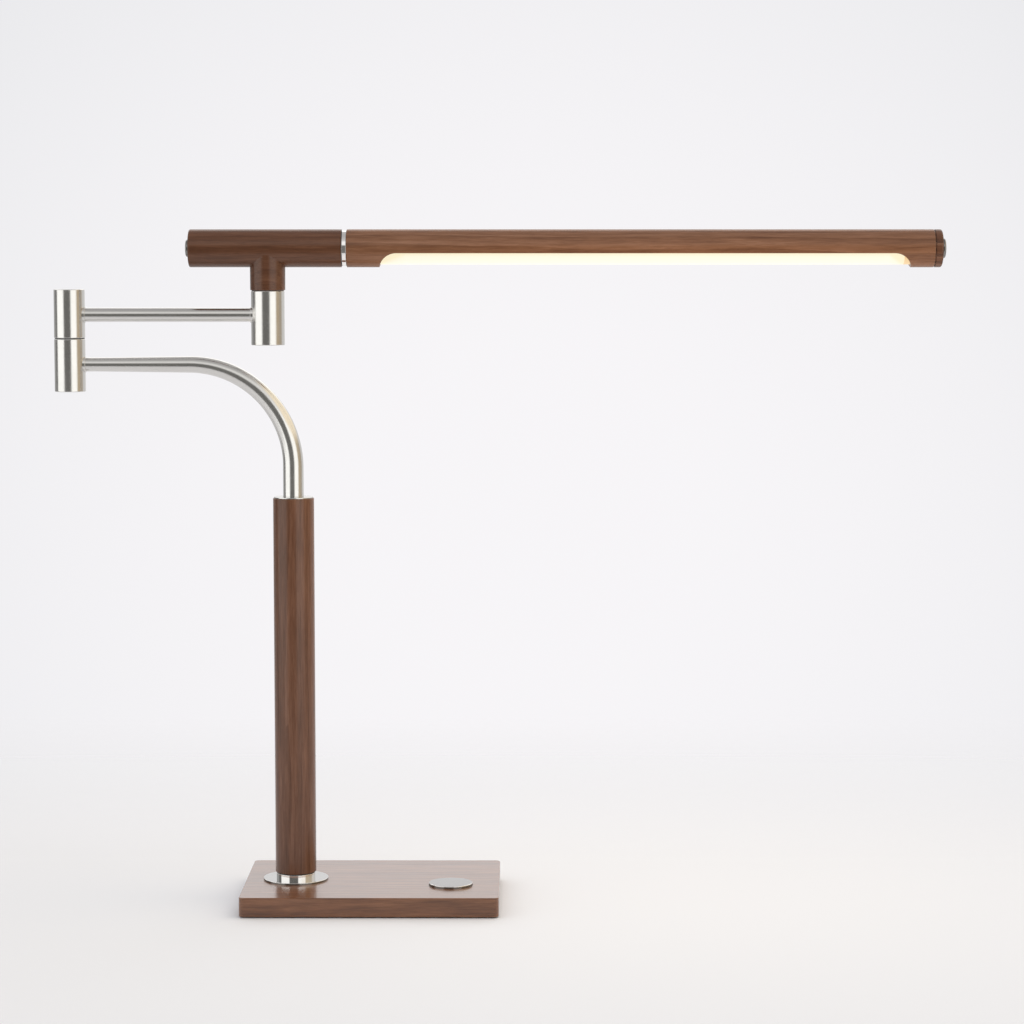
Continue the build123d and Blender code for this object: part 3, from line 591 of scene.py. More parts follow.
class Shape:
    """Mesh in the making, in millimetres."""

    def __init__(self) -> None:
        """Start with nothing."""
        self.mesh = bmesh.new()

    @classmethod
    def turned(cls, outline: Outline, lying: Lying, centre: Vector, sides: int = SIDES) -> "Shape":
        """Spin an outline round its axis.

        Args:
            outline: radius and height of each corner; an outline that ends on the axis stays open there.
            lying: way that the axis points.
            centre: point that height nought comes to lie on.
            sides: number of sides.

        Returns:
            The closed shape.
        """
        shape = cls()
        corners = [shape.mesh.verts.new((radius, 0.0, height)) for radius, height in outline]
        pairs = list(zip(corners, corners[1:]))
        if outline[0][0] > 0 or outline[-1][0] > 0:
            pairs.append((corners[-1], corners[0]))
        edges = [shape.mesh.edges.new(pair) for pair in pairs]
        bmesh.ops.spin(
            shape.mesh, geom=corners + edges, axis=(0, 0, 1), angle=math.tau, steps=sides, use_merge=True
        )
        bmesh.ops.remove_doubles(shape.mesh, verts=shape.mesh.verts, dist=MERGE)
        return shape.settle(lying, centre)

    @classmethod
    def peg(
        cls, radius: float, start: float, end: float, lying: Lying, centre: Vector, sides: int = SIDES
    ) -> "Shape":
        """Round peg from start to end along its axis."""
        return cls.turned(stepped(start, (radius, end), (0.0, start)), lying, centre, sides)

    @classmethod
    def block(cls, low: Vector, high: Vector) -> "Shape":
        """Box between two corners.

        Args:
            low: its lowest corner.
            high: its highest corner.

        Returns:
            The box.
        """
        shape = cls()
        bmesh.ops.create_cube(shape.mesh, size=1.0)
        bmesh.ops.scale(shape.mesh, vec=high - low, verts=shape.mesh.verts)
        bmesh.ops.translate(shape.mesh, vec=(low + high) / 2, verts=shape.mesh.verts)
        return shape

    def settle(self, lying: Lying, centre: Vector) -> "Shape":
        """Point the faces outwards and lay the shape in its place.

        Args:
            lying: way that its axis points.
            centre: point that height nought comes to lie on.

        Returns:
            The same shape.
        """
        bmesh.ops.recalc_face_normals(self.mesh, faces=self.mesh.faces)
        bmesh.ops.rotate(self.mesh, matrix=lying.value, verts=self.mesh.verts)
        bmesh.ops.translate(self.mesh, vec=centre, verts=self.mesh.verts)
        return self

    def soften(self, radius: float, where: EdgeTest, segments: int = 4) -> "Shape":
        """Round the sharp edges that a test picks."""
        edges = [edge for edge in self.mesh.edges if is_sharp(edge) and where(edge)]
        return self.round(edges, radius, segments)

    def round(self, edges: list[Edge], radius: float, segments: int) -> "Shape":
        """Round the given edges.

        Args:
            edges: the edges to round.
            radius: width of the rounding.
            segments: number of faces across the rounding.

        Returns:
            The same shape.
        """
        bmesh.ops.bevel(
            self.mesh,
            geom=edges,
            offset=radius,
            offset_type="OFFSET",
            segments=segments,
            profile=0.5,
            affect="EDGES",
            clamp_overlap=True,
            material=-1,
        )
        return self

    def cut(self, *tools: "Shape") -> "Shape":
        """Take other shapes away.

        Args:
            tools: the other shapes, which are used up.

        Returns:
            The same shape.
        """
        for tool in tools:
            self.combine(tool, "DIFFERENCE")
        return self

    def combine(self, other: "Shape", operation: str) -> "Shape":
        """Combine with another shape.

        Args:
            other: the other shape, which is used up.
            operation: Blender's name for the way to combine them.

        Returns:
            The same shape.
        """
        whole, tool = self.as_object("whole"), other.as_object("tool")
        step = whole.modifiers.new("combine", "BOOLEAN")
        step.operation = operation
        step.solver = "EXACT"
        step.object = tool
        self.mesh = bmesh.new()
        self.mesh.from_object(whole, bpy.context.evaluated_depsgraph_get())
        bmesh.ops.remove_doubles(self.mesh, verts=self.mesh.verts, dist=MERGE)
        for used in (whole, tool):
            mesh = used.data
            bpy.data.objects.remove(used)
            bpy.data.meshes.remove(mesh)
        return self

    def as_object(self, name: str) -> Piece:
        """Turn the shape into an object of the scene, which ends its making.

        Args:
            name: name of the object.

        Returns:
            The object.
        """
        mesh = bpy.data.meshes.new(name)
        self.mesh.to_mesh(mesh)
        self.mesh.free()
        piece = bpy.data.objects.new(name, mesh)
        bpy.context.scene.collection.objects.link(piece)
        return piece

    def place(self, name: str, finish: Finish, node: str) -> Piece:
        """Put the finished shape in the scene in place of a solid.

        Args:
            name: name of the piece.
            finish: what it is dressed in.
            node: solid that the piece stands for and moves with.

        Returns:
            The piece.
        """
        bmesh.ops.scale(self.mesh, vec=(MM, MM, MM), verts=self.mesh.verts)
        piece = self.as_object(name)
        piece.data.shade_smooth()
        piece.data.set_sharp_from_angle(angle=SMOOTH_ANGLE)
        piece.data.materials.append(material_of(finish))
        even = piece.modifiers.new("even_normals", "WEIGHTED_NORMAL")
        even.keep_sharp = True
        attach(piece, frame["nodes"][node]["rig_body"])
        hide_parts(node)
        finish.slot
        log.info("%s: %d faces, stands for %s", name, len(piece.data.polygons), node)
        return piece


def is_sharp(edge: Edge) -> bool:
    """Whether an edge's two faces meet at a corner."""
    return len(edge.link_faces) == 2 and edge.calc_face_angle() > SHARP_ANGLE


def is_upright(edge: Edge) -> bool:
    """Whether an edge stands up."""
    return abs(edge.verts[0].co.z - edge.verts[1].co.z) > NEAR


def runs_back(edge: Edge) -> bool:
    """Whether an edge runs from front to back."""
    return abs(edge.verts[0].co.y - edge.verts[1].co.y) > NEAR


def lies_at(axis: Axis, place: float) -> EdgeTest:
    """Test for edges that lie at a place along an axis."""
    return lambda edge: all(abs(vert.co[axis] - place) < NEAR for vert in edge.verts)


def beyond(centre: Vector, axis: Axis, radius: float) -> EdgeTest:
    """Test for edges that lie outside a radius from an axis.

    Args:
        centre: point on the axis.
        axis: direction of the axis.
        radius: the radius.

    Returns:
        The test.
    """
    across = [other for other in Axis if other is not axis]

    def test(edge: Edge) -> bool:
        """Whether both ends of an edge lie outside the radius."""
        reach = [math.hypot(*(vert.co[other] - centre[other] for other in across)) for vert in edge.verts]
        return min(reach) > radius

    return test


def stepped(start: float, *steps: tuple[float, float]) -> Outline:
    """Outline of a turned piece, wall by wall.

    Args:
        start: height at which the first wall starts.
        steps: radius of each wall and height at which it ends, up the outside and back down the inside.

    Returns:
        Radius and height of each corner.
    """
    outline = []
    level = start
    for radius, end in steps:
        outline += [(radius, level), (radius, end)]
        level = end
    return outline[-1:] + outline[:-1]


STEEL = PolishedSteel()
FOOT_STEEL = PolishedSteel("foot_steel", (0.55, 0.54, 0.53), (0.51, 0.50, 0.49), 0.06, 0.10)
BUTTON_STEEL = PolishedSteel("button_steel", (0.40, 0.39, 0.385), (0.36, 0.35, 0.345), 0.10, 0.15)
DARK_STEEL = PolishedSteel("dark_steel", (0.26, 0.25, 0.24), (0.22, 0.21, 0.20), 0.12, 0.2)
CHROME = PolishedSteel("chrome", (0.95, 0.94, 0.93), (0.91, 0.90, 0.89), 0.03, 0.06)
BASE_WALNUT = Walnut(
    "walnut_base",
    Grain.ALONG_BAR,
    (0.0, 40.0, -46.0),
    dark=(0.088, 0.029, 0.009),
    middle=(0.164, 0.060, 0.021),
    light=(0.244, 0.102, 0.045),
    ring_share=0.08,
    streak_share=0.54,
    fibre_share=0.32,
    tone_share=0.06,
    contrast=0.15,
    sheen_level=0.2,
    coat=1.0,
    coat_roughness=0.20,
    coat_ior=1.55,
)
POST_WALNUT = Walnut(
    "walnut_post",
    Grain.UPRIGHT,
    (-20.0, 38.0, 0.0),
    dark=(0.075, 0.029, 0.013),
    middle=(0.145, 0.062, 0.033),
    light=(0.215, 0.102, 0.060),
    ring_share=0.10,
    streak_share=0.46,
    fibre_share=0.26,
    contrast=0.18,
    coat=0.9,
)
TEE_WALNUT = Walnut(
    "walnut_tee",
    Grain.ALONG_BAR,
    (0.0, 30.0, 545.0),
    dark=(0.050, 0.019, 0.009),
    middle=(0.098, 0.039, 0.019),
    light=(0.151, 0.067, 0.036),
    ring_share=0.10,
    streak_share=0.50,
    fibre_share=0.30,
    contrast=0.24,
    coat=0.8,
)
BAR_WALNUT = Walnut(
    "walnut_bar",
    Grain.ALONG_BAR,
    (0.0, 22.0, 546.0),
    dark=(0.100, 0.041, 0.020),
    middle=(0.194, 0.089, 0.047),
    light=(0.275, 0.141, 0.086),
    ring_share=0.12,
    streak_share=0.45,
    fibre_share=0.25,
    contrast=0.18,
)
CAP_WALNUT = Walnut(
    "walnut_cap",
    Grain.ALONG_BAR,
    (0.0, 18.0, 470.0),
    dark=(0.060, 0.024, 0.012),
    middle=(0.110, 0.046, 0.024),
    light=(0.160, 0.076, 0.044),
)
RUBBER = Plain("pad_rubber", (0.028, 0.027, 0.026), (0.045, 0.043, 0.042), 0.75)
INNER_FINISHES = (
    Plain("plain_steel", (0.56, 0.56, 0.55), (0.46, 0.46, 0.45), 0.34, metallic=1.0),
    Plain("cover_paint", (0.045, 0.045, 0.045), (0.06, 0.06, 0.06), 0.55, relief=0.3),
    Plain("friction_washer", (0.07, 0.07, 0.07), (0.10, 0.10, 0.10), 0.45),
    Plain("bearing_brass", (0.72, 0.53, 0.26), (0.66, 0.47, 0.22), 0.28, metallic=1.0),
    Plain("plug_aluminium", (0.76, 0.76, 0.77), (0.70, 0.70, 0.71), 0.36, metallic=1.0),
    Plain("board_laminate", (0.03, 0.16, 0.06), (0.05, 0.21, 0.09), 0.42),
    Plain("sheet_film", (0.78, 0.78, 0.74), (0.70, 0.70, 0.66), 0.40),
    Plain("switch_plastic", (0.03, 0.03, 0.03), (0.05, 0.05, 0.05), 0.30),
    Plain("strip_white", (0.84, 0.84, 0.80), (0.78, 0.78, 0.74), 0.40),
    Plain("chip_phosphor", (0.85, 0.62, 0.12), (0.92, 0.70, 0.20), 0.25),
    Plain("lead_sleeve", (0.03, 0.03, 0.03), (0.05, 0.05, 0.05), 0.5),
)


@dataclass(frozen=True)
class PinGroove:
    """Groove round a pivot that a stop pin runs in."""

    circle: float  # radius of the groove's middle
    limit: float  # degrees that the joint turns each way
    width: float = 3.0
    depth: float = 2.6
    end_gap: float = 0.25
    steps: int = 64

    def cutter(self, lying: Lying, face: Vector) -> Shape:
        """Shape that cuts the groove, which stands a little out of the face.

        Args:
            lying: way out of the face.
            face: middle of the face.

        Returns:
            The cutter.
        """
        shape = Shape()
        half_turn = math.radians(self.limit) + (self.width / 2 + self.end_gap) / self.circle
        inner, outer = self.circle - self.width / 2, self.circle + self.width / 2
        corners = [
            shape.mesh.verts.new((radius, 0.0, height))
            for radius, height in stepped(-self.depth, (outer, PAST), (inner, -self.depth))
        ]
        end_face = shape.mesh.faces.new(corners)
        bmesh.ops.rotate(shape.mesh, matrix=Matrix.Rotation(-half_turn, 3, "Z"), verts=shape.mesh.verts)
        bmesh.ops.spin(shape.mesh, geom=[end_face], axis=(0, 0, 1), angle=2 * half_turn, steps=self.steps)
        return shape.settle(lying, face)


@dataclass
class WeightedBase:
    """Wooden base with its button, and the flange and gasket at the foot of the post."""

    corner_radius: float = 4.0
    corner_segments: int = 8
    edge_radius: float = 0.7
    cover_gap: float = 0.3
    pocket_rim: float = 14.0
    pocket_corner: float = 4.0
    pocket_segments: int = 6
    recess_depth: float = 1.2
    recess_gap: float = 0.3
    guide_hole: float = 6.05
    lead_hole: float = 3.5
    gland_hole: float = 4.05
    gland_seat: float = 5.25
    gland_seat_depth: float = 1.0
    disc_thickness: float = 2.2
    disc_edge: float = 0.4
    stem_radius: float = 4.0
    groove_radius: float = 3.0
    flange_thickness: float = 1.5
    collar_radius: float = 15.25
    collar_height: float = 4.0
    flange_edge: float = 0.25
    spigot_radius: float = 10.95
    gasket_gap: float = 0.05
    pipe_hole: float = 5.05
    level_slope: float = 0.95  # faces that point up more than this belong to a disc's top
    upright_slope: float = 0.1  # and those that point up or down less than this are upright
    shaded_rim_share: float = 0.9  # share of the radius beyond which upright faces are the outer rim, which gets painted shade

    def build(self) -> None:
        """Make the pieces from the table up to the gasket."""
        self.block().place("wood_base", BASE_WALNUT, "base_block")
        disc = self.button().place("button_disc", BUTTON_STEEL, "push_button")
        foot = self.flange().place("foot_flange", FOOT_STEEL, "post_flange")
        # The button's and the flange's sides get a painted highlight, and their outer rims get painted
        # shade.
        self.paint_highlight_and_shade(disc, "push_button")
        self.paint_highlight_and_shade(foot, "post_flange")
        self.gasket().place("foot_gasket", RUBBER, "post_gasket")

    def block(self) -> Shape:
        """Rounded block, hollow from below, with the button's recess and the gland's hole.

        Returns:
            The block.
        """
        wood, cover, disc, gland = map(Solid, ("base_block", "base_cover", "push_button", "cord_gland"))
        block = Shape.block(wood.low, wood.high).soften(self.corner_radius, is_upright, self.corner_segments)
        block.soften(self.edge_radius, lambda edge: not is_upright(edge))
        past = Vector((self.cover_gap, self.cover_gap, 0.0))
        seat = Shape.block(cover.low - past - Vector((0.0, 0.0, PAST)), cover.high + past)
        seat.soften(self.corner_radius, is_upright, self.pocket_segments)
        rim = Vector((self.pocket_rim, self.pocket_rim, -2 * PAST))
        roof = Solid("base_weight").high.z + self.cover_gap
        pocket = Shape.block(wood.low + rim, Vector((wood.high.x - rim.x, wood.high.y - rim.y, roof)))
        pocket.soften(self.pocket_corner, is_upright, self.pocket_segments)
        top = wood.high.z
        under = roof - top - PAST
        over = Vector((disc.middle.x, disc.middle.y, top))
        post = Vector((Solid("post_sleeve").middle.x, 0.0, top))
        mouth = Vector((gland.middle.x, wood.high.y, gland.middle.z))
        inside = -self.pocket_rim - PAST
        return block.cut(
            seat,
            pocket,
            Shape.peg(disc.radius + self.recess_gap, -self.recess_depth, PAST, Lying.UP, over),
            Shape.peg(self.guide_hole, under, -PAST / 2, Lying.UP, over),
            Shape.peg(self.lead_hole, under, PAST, Lying.UP, post),
            Shape.peg(self.gland_hole, inside, -PAST / 2, Lying.BACK, mouth),
            Shape.peg(self.gland_seat, -self.gland_seat_depth, PAST, Lying.BACK, mouth),
        )

    def button(self) -> Shape:
        """Polished disc on its grooved stem.

        Returns:
            The disc.
        """
        disc, clip = Solid("push_button"), Solid("button_clip")
        under = disc.high.z - self.disc_thickness
        outline = stepped(
            disc.low.z,
            (self.stem_radius, clip.low.z),
            (self.groove_radius, clip.high.z),
            (self.stem_radius, under),
            (disc.radius, disc.high.z),
            (0.0, disc.low.z),
        )
        turned = Shape.turned(outline, Lying.UP, disc.upright, FINE_SIDES)
        return turned.soften(self.disc_edge, disc.rim(Axis.Z))

    def paint_highlight_and_shade(self, piece: Piece, node: str) -> None:
        """Paint a turned disc's sides in bright chrome as a painted highlight, and its outer rim in darker
        steel as painted shade.

        Args:
            piece: the disc.
            node: solid that it stands for.
        """
        # Painted highlight: the sides take brighter, glossier chrome than the disc's top. Painted shade: the
        # outer rim takes darker steel.
        painted_highlight_seat, painted_shade_seat = 1, 2
        for finish in (CHROME, DARK_STEEL):
            piece.data.materials.append(material_of(finish))
        solid = Solid(node)
        for face in piece.data.polygons:
            out = (face.center / MM - solid.middle).to_2d().length
            if face.normal.z < self.level_slope:
                in_painted_shade = out > self.shaded_rim_share * solid.radius and abs(face.normal.z) < self.upright_slope
                face.material_index = painted_shade_seat if in_painted_shade else painted_highlight_seat

    def flange(self) -> Shape:
        """Flange and collar that hold the post's foot, with the spigot inside it.

        Returns:
            The flange.
        """
        foot = Solid("post_flange")
        flange_top = foot.low.z + self.flange_thickness
        collar_top = flange_top + self.collar_height
        outline = stepped(
            foot.low.z,
            (foot.radius, flange_top),
            (self.collar_radius, collar_top),
            (self.spigot_radius, foot.high.z),
            (self.pipe_hole, foot.low.z),
        )
        turned = Shape.turned(outline, Lying.UP, foot.upright, FINE_SIDES)
        outside = beyond(foot.middle, Axis.Z, self.collar_radius - NEAR)
        on_foot = lies_at(Axis.Z, foot.low.z)
        return turned.soften(
            self.flange_edge, lambda edge: outside(edge) and not on_foot(edge) and edge.is_convex
        )

    def gasket(self) -> Shape:
        """Thin dark ring under the post.

        Returns:
            The ring.
        """
        ring = Solid("post_gasket")
        bore = self.spigot_radius + self.gasket_gap
        outline = stepped(ring.low.z, (ring.radius, ring.high.z), (bore, ring.low.z))
        return Shape.turned(outline, Lying.UP, ring.upright)


@dataclass
class WoodenPost:
    """Wooden post and the steel socket in its top."""

    bore: float = 11.0
    edge: float = 0.5
    cap_thickness: float = 1.0
    cap_edge: float = 0.3
    socket_radius: float = 10.95
    arm_hole: float = 8.05
    arm_seat: float = 30.0
    pipe_hole: float = 5.05

    def build(self) -> None:
        """Make the post and its socket."""
        self.post().place("wood_post", POST_WALNUT, "post_sleeve")
        self.socket().place("post_cap", STEEL, "arm_socket")

    def post(self) -> Shape:
        """Bored dowel with eased ends.

        Returns:
            The dowel.
        """
        post = Solid("post_sleeve")
        outline = stepped(post.low.z, (post.radius, post.high.z), (self.bore, post.low.z))
        dowel = Shape.turned(outline, Lying.UP, post.upright, FINE_SIDES)
        return dowel.soften(self.edge, post.rim(Axis.Z))

    def socket(self) -> Shape:
        """Thin cap over the post's end, with the socket that holds the arm.

        Returns:
            The socket.
        """
        cap = Solid("arm_socket")
        outline = stepped(
            cap.low.z,
            (self.socket_radius, cap.high.z - self.cap_thickness),
            (cap.radius, cap.high.z),
            (self.arm_hole, cap.high.z - self.arm_seat),
            (self.pipe_hole, cap.low.z),
        )
        return Shape.turned(outline, Lying.UP, cap.upright).soften(self.cap_edge, cap.rim(Axis.Z))


@dataclass
class Barrels:
    """Steel barrels of the pivots, their end caps and the beads where the arms meet them."""

    wall: float = 2.2
    web: float = 6.0
    edge: float = 0.6
    pivot_hole: float = 4.05
    arm_hole: float = 5.55
    bead_bore: float = 5.5
    bead_radius: float = 6.3
    bead_height: float = 0.5
    bead_round: float = 0.3

    def fit(
        self, name: str, bead: str, barrel: str, arm: str, arm_way: Lying, groove: PinGroove | None = None
    ) -> None:
        """Make a barrel, its cap and the bead round the arm that enters it.

        Args:
            name: name of the barrel's piece, from which the cap's is made.
            bead: name of the bead's piece.
            barrel: solid of the barrel, from which the cap's is named.
            arm: solid of the arm.
            arm_way: way that the arm leaves the barrel.
            groove: groove of the stop pin in the barrel's pivot face, if it has one.
        """
        self.bead(barrel, arm, arm_way).place(bead, STEEL, arm)
        self.shell(barrel, arm, arm_way, groove).place(name, STEEL, barrel)
        self.cap(f"{barrel}_cap").place(f"{name}_cap", STEEL, f"{barrel}_cap")

    def shell(self, barrel: str, arm: str, arm_way: Lying, groove: PinGroove | None) -> Shape:
        """Barrel closed by a web at its pivot face.

        Args:
            barrel: solid of the barrel.
            arm: solid of the arm that enters it.
            arm_way: way that the arm leaves it.
            groove: groove of the stop pin in its pivot face, if it has one.

        Returns:
            The barrel.
        """
        tube = Solid(barrel)
        pivot_up = Solid(f"{barrel}_cap").middle.z < tube.middle.z
        face, end = (tube.high.z, tube.low.z) if pivot_up else (tube.low.z, tube.high.z)
        inside = face - self.web if pivot_up else face + self.web
        bore = tube.radius - self.wall
        outline = stepped(face, (tube.radius, end), (bore, inside), (self.pivot_hole, face))
        shell = Shape.turned(outline, Lying.UP, tube.upright, FINE_SIDES)
        shell.soften(self.edge, tube.rim(Axis.Z))
        level = tube.upright + Vector((0.0, 0.0, self.arm_level(arm)))
        shell.cut(Shape.peg(self.arm_hole, 0.0, tube.radius + PAST, arm_way, level))
        if groove:
            way_out = Lying.UP if pivot_up else Lying.DOWN
            shell.cut(groove.cutter(way_out, tube.upright + Vector((0.0, 0.0, face))))
        return shell

    def arm_level(self, arm: str) -> float:
        """Height of a level arm's axis where it meets its barrel."""
        return Solid(arm).high.z - self.bead_radius

    def cap(self, node: str) -> Shape:
        """Disc that closes a barrel's open end.

        Args:
            node: solid of the cap.

        Returns:
            The disc.
        """
        cap = Solid(node)
        disc = Shape.peg(cap.radius, cap.low.z, cap.high.z, Lying.UP, cap.upright)
        return disc.soften(self.bead_round, cap.rim(Axis.Z))

    def bead(self, barrel: str, arm: str, arm_way: Lying) -> Shape:
        """Bead saddled on a barrel, round the arm that leaves it.

        Args:
            barrel: solid of the barrel.
            arm: solid of the arm.
            arm_way: way that the arm leaves the barrel.

        Returns:
            The bead.
        """
        tube = Solid(barrel)
        level = tube.upright + Vector((0.0, 0.0, self.arm_level(arm)))
        outline = stepped(0.0, (self.bead_radius, tube.radius + self.bead_height), (self.bead_bore, 0.0))
        ring = Shape.turned(outline, arm_way, level)
        ring.soften(self.bead_round, beyond(level, Axis.X, self.bead_radius - NEAR))
        return ring.cut(
            Shape.peg(tube.radius, tube.low.z, tube.high.z, Lying.UP, tube.upright, FINE_SIDES)
        )


@dataclass
class CurvedArm:
    """Curved, tapered arm on the post, the lower barrel at its tip and the bead between them."""

    barrels: Barrels
    root_radius: float = 8.0
    tip_radius: float = 5.5
    wall: float = 1.0
    bend_radius: float = 80.0
    tip_straight: float = 14.0
    bend_steps: int = 48

    def build(self) -> None:
        """Make the arm, its bead, the barrel and its cap."""
        tube = self.tube().place("curved_tube", STEEL, "curved_arm")
        hollow = tube.modifiers.new("wall", "SOLIDIFY")
        hollow.thickness = self.wall * MM
        hollow.offset = -1.0
        tube.modifiers.move(1, 0)  # the wall comes before the normals
        self.barrels.fit("elbow_low", "lower_bead", "lower_barrel", "curved_arm", Lying.RIGHT)

    def tube(self) -> Shape:
        """Ring of edges led up the post, round the bend and along to the elbow.

        Returns:
            The tube's outer skin.
        """
        low = Solid("curved_arm").low
        root_x = Solid("post_sleeve").middle.x
        bend_start = self.barrels.arm_level("curved_arm") - self.bend_radius
        bend_middle = Vector((root_x - self.bend_radius, 0.0, bend_start))
        taper_end = low.x + self.tip_straight
        bend_length = self.bend_radius * math.pi / 2
        taper_length = bend_length + bend_middle.x - taper_end
        shape = Shape()
        bmesh.ops.create_circle(shape.mesh, radius=self.root_radius, segments=SIDES)
        bmesh.ops.translate(shape.mesh, vec=(root_x, 0.0, low.z), verts=shape.mesh.verts)
        self.lead_on(shape, Matrix.Translation((0.0, 0.0, bend_start - low.z)), 1.0)
        turn = Matrix.Rotation(-math.pi / 2 / self.bend_steps, 4, "Y")
        turn = Matrix.Translation(bend_middle) @ turn @ Matrix.Translation(-bend_middle)
        radius = self.root_radius
        for step in range(1, self.bend_steps + 1):
            run = bend_length * step / self.bend_steps
            wanted = self.root_radius + (self.tip_radius - self.root_radius) * run / taper_length
            self.lead_on(shape, turn, wanted / radius)
            radius = wanted
        straight = Matrix.Translation((taper_end - bend_middle.x, 0.0, 0.0))
        self.lead_on(shape, straight, self.tip_radius / radius)
        self.lead_on(shape, Matrix.Translation((-self.tip_straight, 0.0, 0.0)), 1.0)
        bmesh.ops.recalc_face_normals(shape.mesh, faces=shape.mesh.faces)
        return shape

    def lead_on(self, shape: Shape, move: Matrix, growth: float) -> None:
        """Extrude the tube's last ring.

        Args:
            shape: the tube so far.
            move: where the new ring goes from the last one.
            growth: size of the new ring against the last one.
        """
        rim = [edge for edge in shape.mesh.edges if edge.tag or not edge.link_faces]
        made = bmesh.ops.extrude_edge_only(shape.mesh, edges=rim)["geom"]
        ring = [item for item in made if isinstance(item, bmesh.types.BMVert)]
        for edge in shape.mesh.edges:
            edge.tag = all(vert in ring for vert in edge.verts)
        bmesh.ops.transform(shape.mesh, matrix=move, verts=ring)
        centre = sum((vert.co for vert in ring), Vector()) / len(ring)
        bmesh.ops.scale(
            shape.mesh, vec=(growth, growth, growth), space=Matrix.Translation(-centre), verts=ring
        )


@dataclass
class FoldArm:
    """Straight upper arm between the elbow's upper barrel and the head's barrel."""

    barrels: Barrels
    tube_radius: float = 5.5
    tube_wall: float = 1.0
    elbow_groove: PinGroove = PinGroove(circle=7.5, limit=155.0)
    head_groove: PinGroove = PinGroove(circle=9.5, limit=155.0)

    def build(self) -> None:
        """Make the arm, its two beads, its two barrels and their caps."""
        self.tube().place("straight_tube", STEEL, "upper_arm")
        for name, barrel, way, groove in (
            ("elbow_high", "upper_barrel", Lying.RIGHT, self.elbow_groove),
            ("head_shell", "head_barrel", Lying.LEFT, self.head_groove),
        ):
            self.barrels.fit(name, f"{name}_bead", barrel, "upper_arm", way, groove)

    def tube(self) -> Shape:
        """Plain tube from barrel to barrel.

        Returns:
            The tube.
        """
        arm = Solid("upper_arm")
        level = Vector((0.0, 0.0, self.barrels.arm_level("upper_arm")))
        bore = self.tube_radius - self.tube_wall
        outline = stepped(arm.low.x, (self.tube_radius, arm.high.x), (bore, arm.low.x))
        return Shape.turned(outline, Lying.RIGHT, level)


@dataclass
class WoodenTee:
    """Cross piece and neck of the head in one, bored for the swivel's insert and the light bar's bush."""

    end_edge: float = 1.2
    end_segments: int = 8
    foot_radius: float = 13.6
    root_radius: float = 13.8
    foot_edge: float = 0.6
    blend: float = 2.2
    blend_segments: int = 6
    seam_slack: float = 0.05
    insert_hole: float = 7.05
    insert_depth: float = 14.0
    lead_hole: float = 3.5
    pin_hole: float = 1.3
    pin_depth: float = 4.0
    pin_circle: float = 9.5
    pin_sides: int = 24
    bush_hole: float = 10.05
    bush_depth: float = 40.0
    spigot_hole: float = 3.05
    spigot_depth: float = 9.0

    def build(self) -> None:
        """Make the tee."""
        self.tee().place("wood_tee", TEE_WALNUT, "tee_body")

    def tee(self) -> Shape:
        """Cross piece and neck, blended into each other and bored.

        Returns:
            The tee.
        """
        body = Solid("tee_body")
        low, high = body.low, body.high
        axis = high.z - body.radius
        height = axis - low.z
        pivot = Solid("head_barrel").middle.x
        rest, end = (Vector((x, 0.0, axis)) for x in (low.x, high.x))
        foot = Vector((pivot, 0.0, low.z))
        pin = foot + Vector((self.pin_circle, 0.0, 0.0))
        tee = Shape.peg(body.radius, 0.0, high.x - low.x, Lying.RIGHT, rest)
        tee.soften(self.end_edge, lies_at(Axis.X, low.x), self.end_segments)
        outline = [(0.0, 0.0), (self.foot_radius, 0.0), (self.root_radius, height), (0.0, height)]
        neck = Shape.turned(outline, Lying.UP, foot)
        neck.soften(self.foot_edge, lies_at(Axis.Z, low.z))
        tee.combine(neck, "UNION")
        seam = [
            edge
            for edge in tee.mesh.edges
            if all(self.on_seam(vert.co - foot, height, body.radius) for vert in edge.verts)
        ]
        tee.round(seam, self.blend, self.blend_segments)
        lead_end = high.x - pivot + self.lead_hole
        return tee.cut(
            Shape.peg(self.insert_hole, -PAST, self.insert_depth, Lying.UP, foot),
            Shape.peg(self.lead_hole, self.insert_depth - PAST, height, Lying.UP, foot),
            Shape.peg(self.pin_hole, -PAST, self.pin_depth, Lying.UP, pin, self.pin_sides),
            Shape.peg(self.bush_hole, -PAST, self.bush_depth, Lying.LEFT, end),
            Shape.peg(self.lead_hole, self.bush_depth - PAST, lead_end, Lying.LEFT, end),
            Shape.peg(self.spigot_hole, -PAST, self.spigot_depth, Lying.RIGHT, rest),
        )

    def on_seam(self, spot: Vector, height: float, radius: float) -> bool:
        """Tell whether a corner lies on both the cross piece and the neck.

        Args:
            spot: the corner, from the middle of the neck's foot.
            height: height of the cross piece's axis over the foot.
            radius: radius of the cross piece.

        Returns:
            Whether it lies on both.
        """
        slope = (self.root_radius - self.foot_radius) * spot.z / height
        off_neck = math.hypot(spot.x, spot.y) - self.foot_radius - slope
        off_cross = math.hypot(spot.y, spot.z - height) - radius
        return max(abs(off_neck), abs(off_cross)) < self.seam_slack


